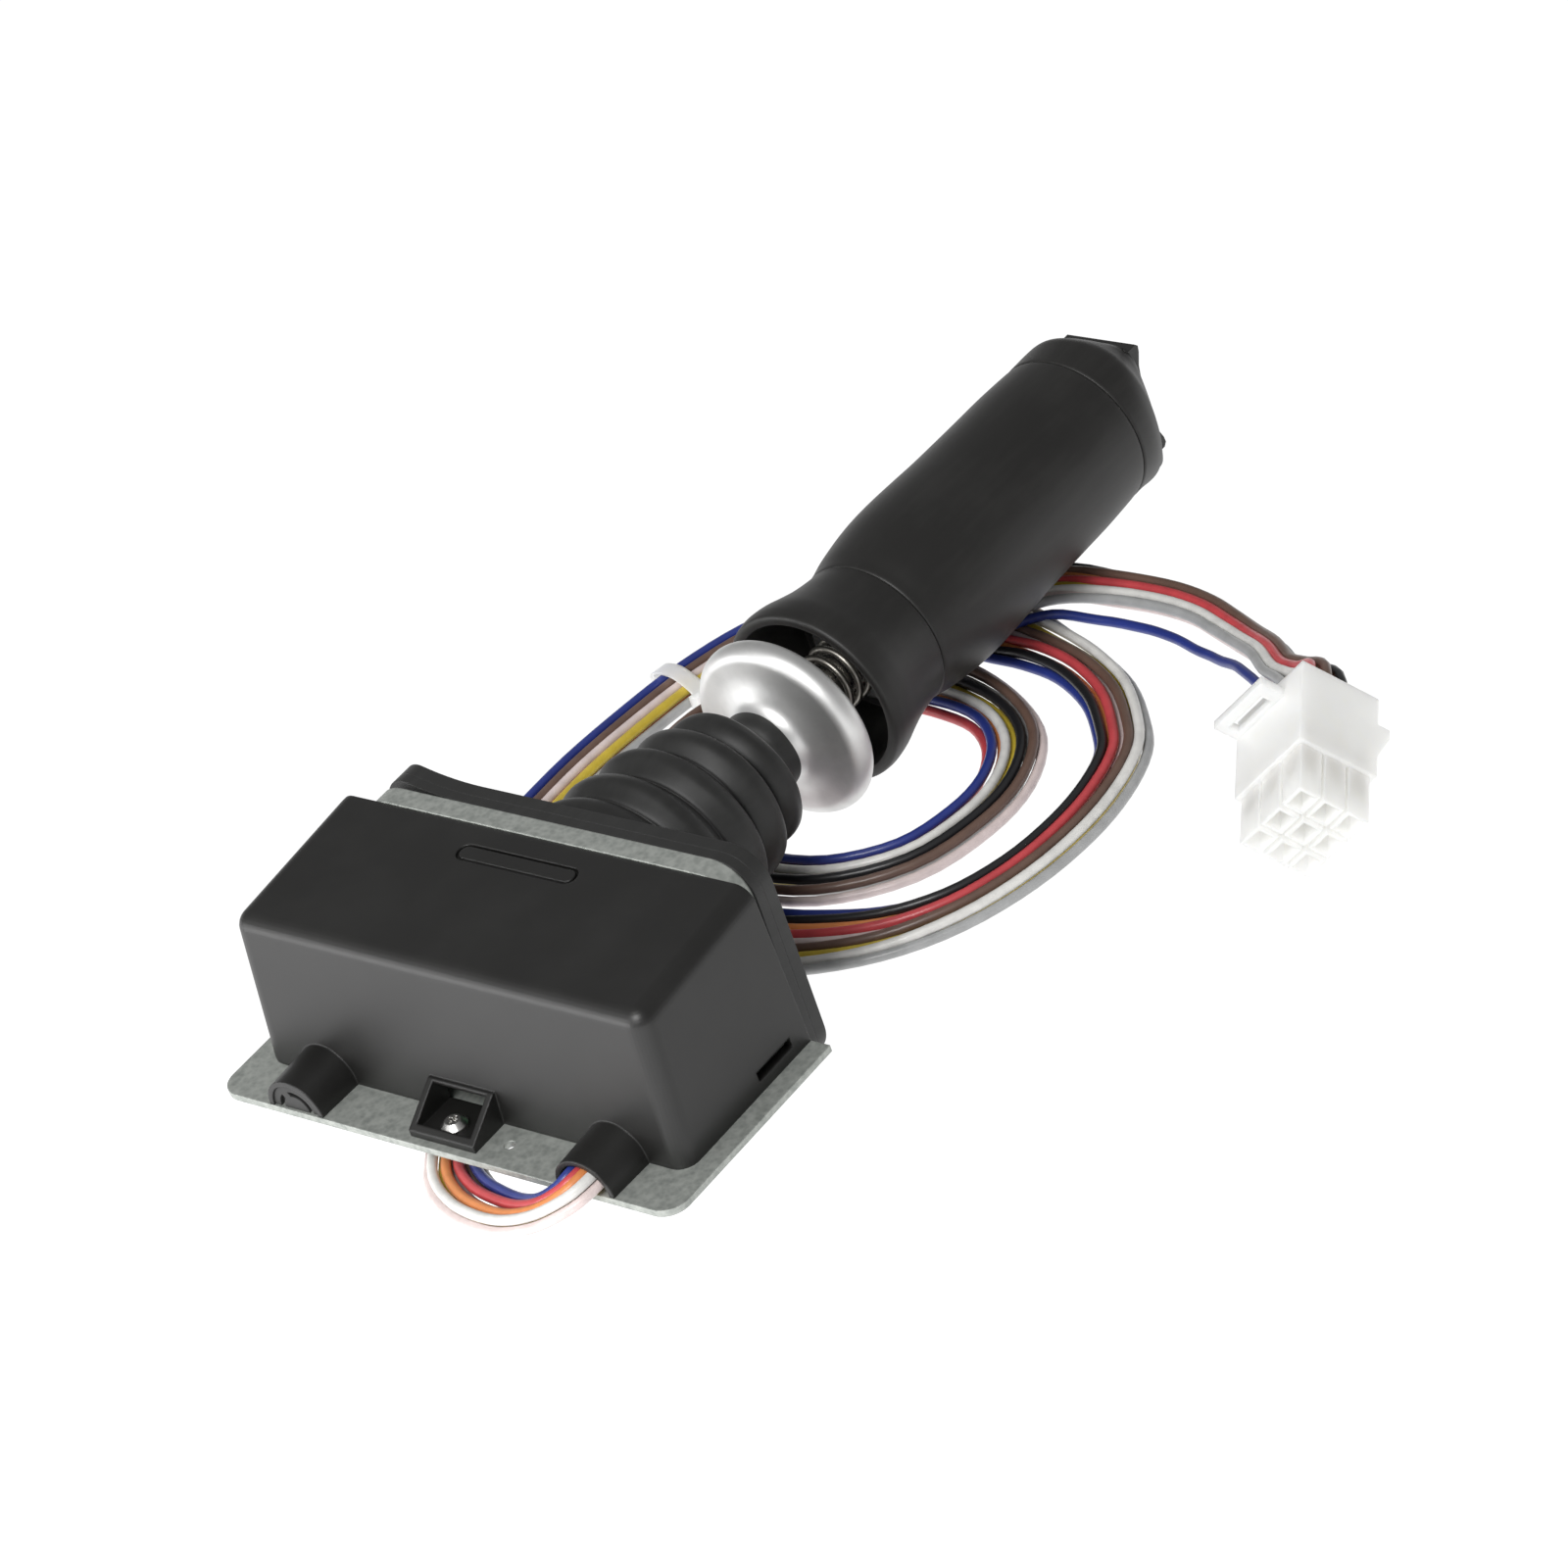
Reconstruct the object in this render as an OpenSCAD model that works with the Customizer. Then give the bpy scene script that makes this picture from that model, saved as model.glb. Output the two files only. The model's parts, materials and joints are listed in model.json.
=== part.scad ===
// Industrial joystick: a single-axis, lift-to-unlock lever on a flange-mounted base,
// with a thumb rocker in the head and a multi-wire lead that ends in a nylon connector.
// The origin is where the lever axis meets the mounting face of the flange.
// +Y runs out along the lever, +X along the long side of the flange, +Z is up.

/* [Mounting flange] */
// Long side of the flange
flange_w = 97; // [90:0.5:120]
// Short side of the flange
flange_h = 52; // [48:0.5:64]
// Thickness of the flange plate
flange_t = 4.7; // [3:0.1:6]
// Radius of the flange corners
flange_r = 8; // [4:0.5:12]
// Distance between bolt holes along the long side
bolt_dx = 83; // [78:0.5:86]
// Distance between bolt holes along the short side
bolt_dz = 40; // [36:0.5:42]
// Radius of the tapped bolt holes
bolt_r = 2.1; // [1.6:0.05:2.6]
// Thickness of the sealing gasket
gasket_t = 2.4; // [1.5:0.1:3.5]
// Thickness of the boot's base plate
boot_base_t = 3; // [2:0.1:4]

/* [Base tray and cover] */
// Long side of the tray
tray_w = 120; // [115:0.5:140]
// How far the tray reaches behind the mounting face
tray_depth = 56.2; // [54:0.2:64]
// Thickness of the tray sheet
tray_t = 1.5; // [1:0.1:2.5]
// Distance of the tray's top face below the lever axis
tray_drop = 12; // [12:0.1:12.4]
// Outer width of the cover at its top edge
cover_w = 107.8; // [102:0.2:114]
// Outer width of the cover at its foot
cover_foot_w = 110.6; // [106:0.2:114]
// Distance of the cover's front top edge behind the mounting face
cover_depth = 42.2; // [41:0.2:48]
// Distance of the cover's front foot behind the mounting face
cover_foot_depth = 45.2; // [44:0.2:50]
// Height of the cover's front top edge above the lever axis
cover_front_z = 23; // [22:0.2:25]
// Wall of the cover
cover_wall = 2.2; // [1.6:0.1:2.8]
// Radius of the cover's edges
cover_r = 4; // [3:0.25:6]
// Distance between the centres of the two cable outlets
outlet_pitch = 76.2; // [70:0.2:80]
// Outer radius of a cable outlet
outlet_r = 7.2; // [6.8:0.1:8]
// Wall of a cable outlet
outlet_wall = 1.1; // [0.8:0.1:1.4]
// Width of the screw pocket
pocket_w = 17; // [14:0.5:20]
// Radius of the cover screw
screw_r = 1.5; // [1.2:0.05:1.6]

/* [Pivot] */
// Distance of the pivot axis behind the mounting face
pivot_back = 18; // [17:0.25:20]
// Radius of the trunnion pins
pin_r = 3; // [2.5:0.1:3.5]
// Wall of the pivot bushes
bush_wall = 1.5; // [1:0.1:2]
// Half height of the pivot block
block_z = 7.5; // [7:0.1:7.9]
// Sheet thickness of the pivot frame
frame_t = 2.5; // [2:0.1:3]
// Gear module
gear_mod = 1; // [1:0.01:1.01]
// Teeth of the whole sector gear circle
sector_teeth = 30; // [30:1:30]
// Teeth of the sensor pinion
pinion_teeth = 10; // [10:1:10]

/* [Lever and collar] */
// Radius of the lever tube
shaft_r = 5; // [4.5:0.1:5.2]
// Radius of the lock rod inside the tube
rod_r = 2.5; // [2:0.1:3]
// Largest radius of the release collar
collar_r = 21; // [18:0.2:21]
// Distance of the collar's widest circle from the mounting face
collar_y = 66.4; // [65:0.2:67]
// Lift of the release collar
collar_lift = 6; // [3:0.5:6]
// Radius of the collar spring's wire
spring_wire_r = 0.8; // [0.5:0.05:0.9]
// Mean radius of the collar spring
spring_r = 6.6; // [6.4:0.1:7]

/* [Grip] */
// Start of the grip's open cup
cup_y = 75.9; // [75.5:0.1:77]
// Radius of the cup at its widest
cup_r = 21; // [20:0.1:21]
// Wall of the cup
cup_wall = 2.6; // [1.8:0.1:3.2]
// Where the cup part and the grip body meet
seam_y = 98; // [96:0.5:100]
// Radius of the grip at the seam
seam_r = 17.6; // [17:0.1:18]
// Radius of the grip at the palm swell
palm_r = 20.2; // [19:0.1:20.4]
// Where the grip body ends and the head starts
head_y = 172; // [168:0.5:174]
// Radius of the head's rim
head_r = 19.8; // [19:0.1:20.2]
// Where the head's rim lies
head_rim_y = 181; // [179:0.5:183]
// Width of the rocker
rocker_w = 18; // [14:0.5:18]
// Length of the rocker
rocker_len = 26.6; // [22:0.2:27]
// Tilt of the rocker each way, degrees
rocker_tilt = 8; // [4:0.5:8]

/* [Connector] */
// Width of the connector's rear block
conn_w = 22; // [21:0.2:26]
// Height of the rear block
conn_h = 18.4; // [18:0.2:22]
// Length of the rear block
conn_rear = 21; // [17:0.5:24]
// Length of the socket towers
conn_front = 12; // [8:0.5:14]
// Distance between sockets across the width
socket_dx = 7; // [6.5:0.1:7]
// Distance between sockets across the height
socket_dz = 5.7; // [5.4:0.1:5.7]
// Width of one socket tower
tower_w = 6.1; // [5.2:0.1:6.2]
// Height of one socket tower
tower_h = 4.9; // [4.6:0.1:5]
// Wall of a socket tower
tower_wall = 0.7; // [0.5:0.05:0.9]

/* [Hidden] */
$fn = 64;

eps = 0.01;              // overlap that makes a cut run clean through
running = 0.05;          // radial clearance of a running fit
slack = 0.3;             // clearance between parts that only pass each other
screw_head_h = 1.9;      // height of a small pan head
hull_fn = 32;            // facets of rounded hull corners

// ---- shared shapes ----

// Plate in the XZ plane with round corners, from y0 to y0 + t.
module plate(w, h, r, y0, t) {
  translate([0, y0 + t, 0])
    rotate([90, 0, 0])
      linear_extrude(t)
        union() {
          square([w - 2*r, h], center = true);
          square([w, h - 2*r], center = true);
          for (sx = [-1, 1], sz = [-1, 1])
            translate([sx*(w/2 - r), sz*(h/2 - r)])
              circle(r);
        }
}

// Round bar or hole along +Y from y0 to y1.
module y_rod(r, y0, y1) {
  translate([0, y0, 0])
    rotate([-90, 0, 0])
      cylinder(r = r, h = y1 - y0);
}

// Solid of revolution about the lever axis from points [radius, y].
module y_turn(points) {
  rotate([-90, 0, 0])
    rotate_extrude()
      polygon(points);
}

// The four corner places of the bolt pattern.
module at_bolts() {
  for (sx = [-1, 1], sz = [-1, 1])
    translate([sx*bolt_dx/2, 0, sz*bolt_dz/2])
      children();
}

// Long round-ended opening for the lever, along X.
module lever_slot(half_len, half_h, y0, y1) {
  for (sx = [-1, 1])
    translate([sx*(half_len - half_h), 0, 0])
      y_rod(half_h, y0, y1);
  translate([-(half_len - half_h), y0, -half_h])
    cube([2*(half_len - half_h), y1 - y0, 2*half_h]);
}

// Pan-head screw along +Y whose head stands behind y = 0 and whose shank runs to +Y.
module pan_screw(r, shank) {
  head_r = 1.9*r;
  difference() {
    union() {
      y_rod(r, -eps, shank);
      y_turn([[0, -screw_head_h], [0.6*head_r, -screw_head_h], [head_r, -0.4*screw_head_h],
              [head_r, 0], [0, 0]]);
    }
    for (a = [0, 90])
      rotate([0, a, 0])
        translate([-0.75*r, -screw_head_h - eps, -0.22*r])
          cube([1.5*r, 0.5*screw_head_h, 0.44*r]);
  }
}

// ---- base: flange, tray and cover ----

slot_half_z = 8;                         // half height of the lever opening
slot_half_x = 17;                        // half length of the lever opening
foot_z = block_z + 12;                   // top face of the pivot frame's upper plate
upper_bottom = foot_z - frame_t;         // underside of that plate
frame_foot_z = upper_bottom - 3.6;       // screw line of the pivot frame's feet
frame_screw_x = 20.5;                    // half spacing of the frame screws
tray_tab_h = 9;                          // depth of the tray's tab below the sheet
tray_screw_x = 22;                       // half spacing of the tray screws
tray_screw_z = -tray_drop - tray_t - 5;  // height of the tray screws
tap_r = 1.5;                             // radius of the M3 screws inside the base

module mounting_flange() {
  color("#b9bcb8")
    difference() {
      plate(flange_w, flange_h, flange_r, -flange_t, flange_t);
      lever_slot(slot_half_x, slot_half_z, -flange_t - eps, eps);
      at_bolts()
        y_rod(bolt_r, -flange_t - eps, eps);
      for (sx = [-1, 1]) {
        translate([sx*frame_screw_x, 0, frame_foot_z])
          y_rod(tap_r, -flange_t - eps, -flange_t + 3.5);
        translate([sx*tray_screw_x, 0, tray_screw_z])
          y_rod(tap_r, -flange_t - eps, -flange_t + 3.5);
      }
    }
}

tray_back = -flange_t;                   // the tray ends against the flange's rear face
tray_corner_r = 5;
spare_hole_x = 13.8;
screw_y = -50;                           // line of the cover screw
frame_rivet_x = 12;                      // half spacing of the frame's lower screws

module base_tray() {
  color("#9aa19d")
    difference() {
      union() {
        translate([-tray_w/2, -tray_depth + tray_corner_r, -tray_drop - tray_t])
          cube([tray_w, tray_depth - tray_corner_r + tray_back, tray_t]);
        translate([-tray_w/2 + tray_corner_r, -tray_depth, -tray_drop - tray_t])
          cube([tray_w - 2*tray_corner_r, tray_corner_r + eps, tray_t]);
        for (sx = [-1, 1])
          translate([sx*(tray_w/2 - tray_corner_r), -tray_depth + tray_corner_r, -tray_drop - tray_t])
            cylinder(r = tray_corner_r, h = tray_t);
        translate([-flange_w/2 + flange_r, tray_back - tray_t, -tray_drop - tray_t - tray_tab_h])
          cube([flange_w - 2*flange_r, tray_t, tray_tab_h + eps]);
      }
      translate([0, screw_y, -tray_drop - tray_t - eps])
        cylinder(r = screw_r, h = tray_t + 2*eps);
      translate([spare_hole_x, -50, -tray_drop - tray_t - eps])
        cylinder(r = 1.2, h = tray_t + 2*eps);
      for (sx = [-1, 1]) {
        translate([sx*tray_screw_x, 0, tray_screw_z])
          y_rod(tap_r, tray_back - tray_t - eps, tray_back + eps);
        translate([sx*frame_rivet_x, -pivot_back - 9, -tray_drop - tray_t - eps])
          cylinder(r = tap_r, h = tray_t + 2*eps);
      }
    }
}

module tray_screws() {
  color("silver")
    for (sx = [-1, 1])
      translate([sx*tray_screw_x, tray_back - tray_t, tray_screw_z])
        pan_screw(tap_r, tray_t + 3);
}

cover_back = -flange_t;
cover_top_back_z = flange_h/2 - 0.3;     // the cover's top ends just below the flange's top edge

// Outer body of the cover, shrunk by m for its inside.
module cover_body(m) {
  r = cover_r - m/2;
  hull()
    for (sx = [-1, 1]) {
      translate([sx*(cover_w/2 - m - r), -cover_depth + m + r, cover_front_z - m - r])
        sphere(r, $fn = hull_fn);
      translate([sx*(cover_w/2 - m - r), cover_back, cover_top_back_z - m - r])
        rotate([90, 0, 0])
          cylinder(r = r, h = 1, $fn = hull_fn);
      translate([sx*(cover_foot_w/2 - m - r), -cover_foot_depth + m + r, -tray_drop])
        cylinder(r = r, h = 1, $fn = hull_fn);
      translate([sx*(cover_foot_w/2 - m) - (sx > 0 ? 1 : 0), cover_back - 1, -tray_drop])
        cube(1);
    }
}

outlet_front = -tray_depth + 0.2;        // front face of the cable outlets
outlet_root = -cover_depth - 1;
outlet_in_r = outlet_r - outlet_wall;
pocket_top_z = -4.4;
pocket_front = -54.4;
pocket_floor = 1;                        // thickness under the cover screw's head
pocket_lip = 0.6;                        // height of the pocket's front lip above its floor
cheek_t = 1.4;                           // wall of the pocket's cheeks
latch_y = -15;
mark_w = 31;                             // long side of the groove mark on the top face
mark_h = 4.6;
mark_groove = 0.7;
mark_cut = 1.6;                          // from the flange's top down to the groove's bottom
mark_back = 12.2;                        // from the flange to the middle of the mark

// Flat bar with half-round ends.
module round_bar(w, h) {
  square([w - h, h], center = true);
  for (sx = [-1, 1])
    translate([sx*(w - h)/2, 0])
      circle(h/2);
}

// Half-round tunnel over the tray, at one cable outlet.
module outlet_bar(r_root, r_end, y0, y1) {
  intersection() {
    translate([0, y1, -tray_drop])
      rotate([90, 0, 0])
        cylinder(r1 = r_root, r2 = r_end, h = y1 - y0);
    translate([-2*outlet_r, y0 - 1, -tray_drop])
      cube([4*outlet_r, y1 - y0 + 2, 2*outlet_r]);
  }
}

// Side cheek of the screw pocket, sloping down to the front.
module pocket_cheek(x0, t) {
  translate([x0, 0, 0])
    rotate([90, 0, 90])
      linear_extrude(t)
        polygon([[outlet_root, -tray_drop], [outlet_root, pocket_top_z],
                 [-cover_foot_depth, pocket_top_z], [pocket_front, -tray_drop + pocket_floor + pocket_lip],
                 [pocket_front, -tray_drop]]);
}

module cover() {
  pocket_in = pocket_w - 2*cheek_t;
  pocket_z = -tray_drop + pocket_floor;
  color("#2b2c2e")
    difference() {
      union() {
        cover_body(0);
        for (sx = [-1, 1])
          translate([sx*outlet_pitch/2, 0, 0])
            outlet_bar(outlet_r + 0.5, outlet_r, outlet_front, outlet_root);
        pocket_cheek(-pocket_w/2, pocket_w);
      }
      translate([0, eps, -eps])
        cover_body(cover_wall);
      for (sx = [-1, 1]) {
        translate([sx*outlet_pitch/2, 0, 0])
          outlet_bar(outlet_in_r, outlet_in_r, outlet_front - 1, -cover_depth + cover_wall + 2);
        translate([sx*cover_w/2 - 3, latch_y - 5.5, -tray_drop + 2.4])
          cube([6, 11, 2.2]);
      }
      translate([-pocket_in/2, pocket_front + cheek_t, pocket_z])
        cube([pocket_in, -cover_foot_depth - pocket_front - cheek_t - slack, 2*outlet_r]);
      translate([-pocket_in/2, -cover_foot_depth - 1, pocket_z])
        cube([pocket_in, cover_wall + 3, pocket_top_z - 1 - pocket_z]);
      translate([0, screw_y, -tray_drop - eps])
        cylinder(r = screw_r + 0.15, h = 6);
      translate([0, -mark_back, flange_h/2 - mark_cut])
        linear_extrude(4)
          difference() {
            round_bar(mark_w, mark_h);
            round_bar(mark_w - 2*mark_groove, mark_h - 2*mark_groove);
          }
    }
}

module cover_screw() {
  color("silver")
    translate([0, screw_y, -tray_drop + pocket_floor])
      rotate([-90, 0, 0])
        pan_screw(screw_r, pocket_floor + tray_t + 2);
}

module blanking_plug() {
  color("#1d1d1f")
    translate([-outlet_pitch/2, 0, 0])
      difference() {
        outlet_bar(outlet_in_r - 0.05, outlet_in_r - 0.05, outlet_front + 0.4, -46);
        difference() {
          outlet_bar(4.4, 4.4, outlet_front, outlet_front + 1.4);
          outlet_bar(3.3, 3.3, outlet_front - 1, outlet_front + 3);
          translate([-1, outlet_front - 1, -tray_drop])
            rotate([0, -30, 0])
              cube([2, 4, 10]);
        }
      }
}

grommet_front = -50;
module outlet_grommet() {
  color("#18181a")
    translate([outlet_pitch/2, 0, 0])
      outlet_bar(outlet_in_r - 0.05, outlet_in_r - 0.05, grommet_front, -45.5);
}

module flange_gasket() {
  color("#4a4b4c")
    difference() {
      plate(flange_w + 1, flange_h, flange_r, 0, gasket_t);
      lever_slot(slot_half_x, slot_half_z, -eps, gasket_t + eps);
      at_bolts()
        y_rod(bolt_r + 0.5, -eps, gasket_t + eps);
    }
}

boot_y0 = gasket_t + boot_base_t;        // the bellows start on the base plate's face
boot_foot_r = 23.2;
boot_wall = 1.5;

module boot_base() {
  color("#3a3b3c")
    difference() {
      plate(flange_w + 1, flange_h, flange_r, gasket_t, boot_base_t);
      lever_slot(slot_half_x + 1.5, slot_half_z, gasket_t - eps, boot_y0 + eps);
      at_bolts()
        y_rod(bolt_r + 0.5, gasket_t - eps, boot_y0 + eps);
    }
}

// Bellows profile: [crest radius, crest y, root radius, root y] for each fold.
folds = [[23.2, 9.5, 20.6, 14.5], [22.2, 19, 18.8, 24.5], [20.6, 29.5, 16.8, 34.5],
         [18.6, 39, 14.6, 43.5], [16.2, 47.5, 11, 52]];
collar_neck_r = 8.4;
boot_top = 58.6;
collar_foot = boot_top - 11;             // the collar's end inside the boot, which its lift leaves covered
boot_neck_r = collar_neck_r + boot_wall;

module boot() {
  outer = concat([[boot_foot_r, boot_y0]],
                 [for (f = folds) for (p = [[f[0], f[1]], [f[2], f[3]]]) p],
                 [[boot_neck_r, boot_top - 3.6], [boot_neck_r, boot_top]]);
  inner = [for (i = [len(outer) - 1:-1:0]) [outer[i][0] - boot_wall, outer[i][1]]];
  color("#303130")
    y_turn(concat(outer, inner));
}

// ---- base: pivot frame, sensor and circuit board ----

pivot_y = -pivot_back;
lower_top = -tray_drop + frame_t;        // top face of the frame's lower plate
foot_half = 3.6;                         // half width of a foot of the frame
frame_half = 16;
frame_back = pivot_y - 16;               // rear face of the frame's back wall
sensor_x = gear_mod*(sector_teeth + pinion_teeth)/2;
shelf_z = block_z + 3;                   // underside of the sensor shelf
shelf_t = 1.5;
sensor_side = 15;

module at_pivot() {
  translate([0, pivot_y, 0])
    children();
}

module pivot_frame() {
  color("#8d9496")
    difference() {
      union() {
        translate([-frame_half, frame_back, -tray_drop])
          cube([2*frame_half, -frame_back + cover_back - 6, frame_t]);
        translate([-frame_half, frame_back, -tray_drop])
          cube([2*frame_half, frame_t, foot_z + tray_drop]);
        translate([-frame_half, frame_back, upper_bottom])
          cube([2*frame_half, -frame_back + cover_back, frame_t]);
        translate([-frame_screw_x - foot_half, cover_back - 6, upper_bottom])
          cube([2*(frame_screw_x + foot_half), 6, frame_t]);
        for (sx = [-1, 1])
          translate([sx*frame_screw_x - foot_half, cover_back - frame_t, frame_foot_z - foot_half])
            cube([2*foot_half, frame_t, 2*foot_half + eps]);
        translate([frame_half - eps, frame_back, shelf_z])
          cube([sensor_x + sensor_side/2 - frame_half, frame_t, 4]);
        translate([sensor_x - sensor_side/2, frame_back, shelf_z])
          cube([sensor_side, -frame_back + pivot_y + 8, shelf_t]);
      }
      at_pivot() {
        translate([0, 0, -tray_drop - eps])
          cylinder(r = pin_r + bush_wall, h = frame_t + 2*eps);
        translate([0, 0, upper_bottom - eps])
          cylinder(r = pin_r + bush_wall, h = frame_t + 2*eps);
        translate([sensor_x, 0, shelf_z - eps])
          cylinder(r = 3.2, h = shelf_t + 2*eps);
      }
      for (sx = [-1, 1]) {
        translate([sx*frame_screw_x, 0, frame_foot_z])
          y_rod(tap_r, cover_back - frame_t - eps, cover_back + eps);
        translate([sx*frame_rivet_x, pivot_y - 9, -tray_drop - eps])
          cylinder(r = tap_r, h = frame_t + 2*eps);
        for (z = board_hole_z)
          translate([sx*board_hole_x, 0, z])
            y_rod(1.2, frame_back - eps, frame_back + frame_t + eps);
      }
    }
}

module frame_screws() {
  color("silver")
    for (sx = [-1, 1]) {
      translate([sx*frame_screw_x, cover_back - frame_t, frame_foot_z])
        pan_screw(tap_r, frame_t + 3);
      translate([sx*frame_rivet_x, pivot_y - 9, lower_top])
        rotate([-90, 0, 0])
          pan_screw(tap_r, frame_t + tray_t + 1);
    }
}

// Flanged bush standing on its flange at z = 0, with its sleeve below.
module flanged_bush(sleeve) {
  difference() {
    union() {
      translate([0, 0, -sleeve])
        cylinder(r = pin_r + bush_wall, h = sleeve + eps);
      cylinder(r = pin_r + bush_wall + 1.5, h = 0.8);
    }
    translate([0, 0, -sleeve - eps])
      cylinder(r = pin_r + running, h = sleeve + 2);
  }
}

module upper_bush() {
  color("#b08d57")
    at_pivot()
      translate([0, 0, upper_bottom])
        mirror([0, 0, 1])
          flanged_bush(frame_t);
}

module lower_bush() {
  color("#b08d57")
    at_pivot()
      translate([0, 0, lower_top])
        flanged_bush(frame_t);
}

gate_y = frame_back + frame_t;           // inner face of the frame's back wall
rod_tip_y = gate_y + 3.5;                // the lock rod's tip, just clear of the gate

module lock_gate() {
  color("#6f7478")
    difference() {
      translate([-9, gate_y, -5])
        cube([18, 3, 10]);
      y_rod(rod_r + 0.4, gate_y + 1.2, gate_y + 4);
    }
}

anchor_z = block_z + 0.6;

module spring_anchor() {
  color("#8d9496")
    translate([-2.5, gate_y, anchor_z])
      cube([5, 2.5, 4.4]);
}

module position_sensor() {
  color("#2f4a3a")
    translate([sensor_x, pivot_y, 0])
      difference() {
        union() {
          translate([-sensor_side/2, -sensor_side/2, -2])
            cube([sensor_side, sensor_side, shelf_z + 2]);
          cylinder(r = 3, h = shelf_z + shelf_t + 1.6);
          translate([-4, -sensor_side/2 - 4, 0])
            cube([8, 4 + eps, 3]);
        }
        translate([0, 0, shelf_z - 4])
          cylinder(r = 1.55, h = 20);
      }
}

module sensor_nut() {
  color("silver")
    translate([sensor_x, pivot_y, shelf_z + shelf_t])
      difference() {
        cylinder(r = 5, h = 1.4, $fn = 6);
        translate([0, 0, -eps])
          cylinder(r = 3, h = 2);
      }
}

// Flat gear outline with straight-flanked teeth, one tooth centred on +X when turned by 0.
module gear_2d(teeth, from, to) {
  pitch_r = gear_mod*teeth/2;
  root_r = pitch_r - 0.95*gear_mod;
  tip_r = pitch_r + 0.75*gear_mod;
  half = 0.33*gear_mod/pitch_r*180/PI*2;
  step = 360/teeth;
  union() {
    circle(root_r + eps);
    for (k = [from:to])
      rotate(k*step)
        polygon([[root_r - 0.4, -1.45*half*root_r*PI/180], [tip_r, -0.5*half*tip_r*PI/180],
                 [tip_r, 0.5*half*tip_r*PI/180], [root_r - 0.4, 1.45*half*root_r*PI/180]]);
  }
}

gear_z = shelf_z + shelf_t + 1.8;        // underside of the gears
gear_t = 2.2;
pinion_tooth_turn = 180 + 180/pinion_teeth;

module sensor_pinion() {
  color("#d8d2c0")
    translate([sensor_x, pivot_y, 0]) {
      translate([0, 0, gear_z])
        rotate(pinion_tooth_turn)
          linear_extrude(gear_t)
            gear_2d(pinion_teeth, 0, pinion_teeth - 1);
      translate([0, 0, shelf_z - 3])
        cylinder(r = 1.5, h = gear_z - shelf_z + 3 + eps);
    }
}

board_w = 66;
board_h = 24;
board_z = 3;
board_t = 1.6;
board_y = frame_back - 3.4;              // face of the board towards the frame
board_hole_x = 13;
board_hole_z = [-5, 12];

module circuit_board() {
  color("#1f5a36")
    difference() {
      translate([-board_w/2, board_y - board_t, board_z - board_h/2])
        cube([board_w, board_t, board_h]);
      for (sx = [-1, 1], z = board_hole_z)
        translate([sx*board_hole_x, 0, z])
          y_rod(1.3, board_y - board_t - eps, board_y + eps);
    }
}

module board_parts() {
  color("#26282b") {
    for (x = [-27, -20])
      translate([x, board_y, 4])
        cube([5, 2, 6]);
    translate([19, board_y, -8])
      cube([11, 6, 6]);
    translate([20, board_y, 3])
      cube([9, 3, 5]);
  }
}

module board_spacers() {
  color("#c9c5b6")
    for (sx = [-1, 1], z = board_hole_z)
      translate([sx*board_hole_x, 0, z])
        difference() {
          y_rod(2.6, board_y, frame_back);
          y_rod(1.3, board_y - 1, frame_back + 1);
        }
}

module board_screws() {
  color("silver")
    for (sx = [-1, 1], z = board_hole_z)
      translate([sx*board_hole_x, board_y - board_t, z])
        y_turn([[0, -0.9], [2, -0.9], [2.2, 0], [1.2, 0], [1.2, 7], [0, 7]]);
}

// ---- lever ----

block_back = 7;                          // the block's rear face behind the pivot axis
tab_t = 2.6;                             // thickness of the tab that the centring spring holds

module pivot_block() {
  color("#a9adb0")
    difference() {
      union() {
        translate([-8, pivot_y - block_back, -block_z])
          cube([16, block_back + 8, 2*block_z]);
        translate([-2.5, pivot_y - block_back - tab_t, block_z - 4])
          cube([5, tab_t + eps, 4]);
        translate([-2.5, pivot_y - block_back - tab_t, block_z - eps])
          cube([5, tab_t - 0.2, 4.6]);
      }
      y_rod(shaft_r, pivot_y - block_back - tab_t - 1, pivot_y + 9);
      at_pivot()
        translate([0, 0, -block_z - eps])
          cylinder(r = pin_r, h = 2*block_z + 2*eps);
      translate([4, pivot_y + 4, 0])
        rotate([0, 90, 0])
          cylinder(r = 1.6, h = 5);
    }
}

module block_screw() {
  color("#3c3c3c")
    translate([shaft_r, pivot_y + 4, 0])
      rotate([0, 90, 0])
        cylinder(r = 1.6, h = 8 - shaft_r);
}

module trunnion_pins() {
  color("#c4c7c9")
    at_pivot() {
      translate([0, 0, shaft_r + 0.3])
        cylinder(r = pin_r, h = foot_z - shaft_r - 0.3);
      translate([0, 0, -tray_drop])
        cylinder(r = pin_r, h = tray_drop - shaft_r - 0.3);
    }
}

module sector_gear() {
  keep_angle = 42;
  color("#d8d2c0")
    at_pivot()
      difference() {
        union() {
          translate([0, 0, gear_z])
            linear_extrude(gear_t)
              intersection() {
                gear_2d(sector_teeth, -3, 3);
                union() {
                  circle(6);
                  polygon([[0, 0], [24*cos(keep_angle), -24*sin(keep_angle)], [26, 0],
                           [24*cos(keep_angle), 24*sin(keep_angle)]]);
                }
              }
          translate([0, 0, block_z])
            cylinder(r = 5, h = gear_z - block_z + eps);
        }
        translate([0, 0, block_z - eps])
          cylinder(r = pin_r, h = 20);
      }
}

torsion_wire = 0.7;

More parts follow.
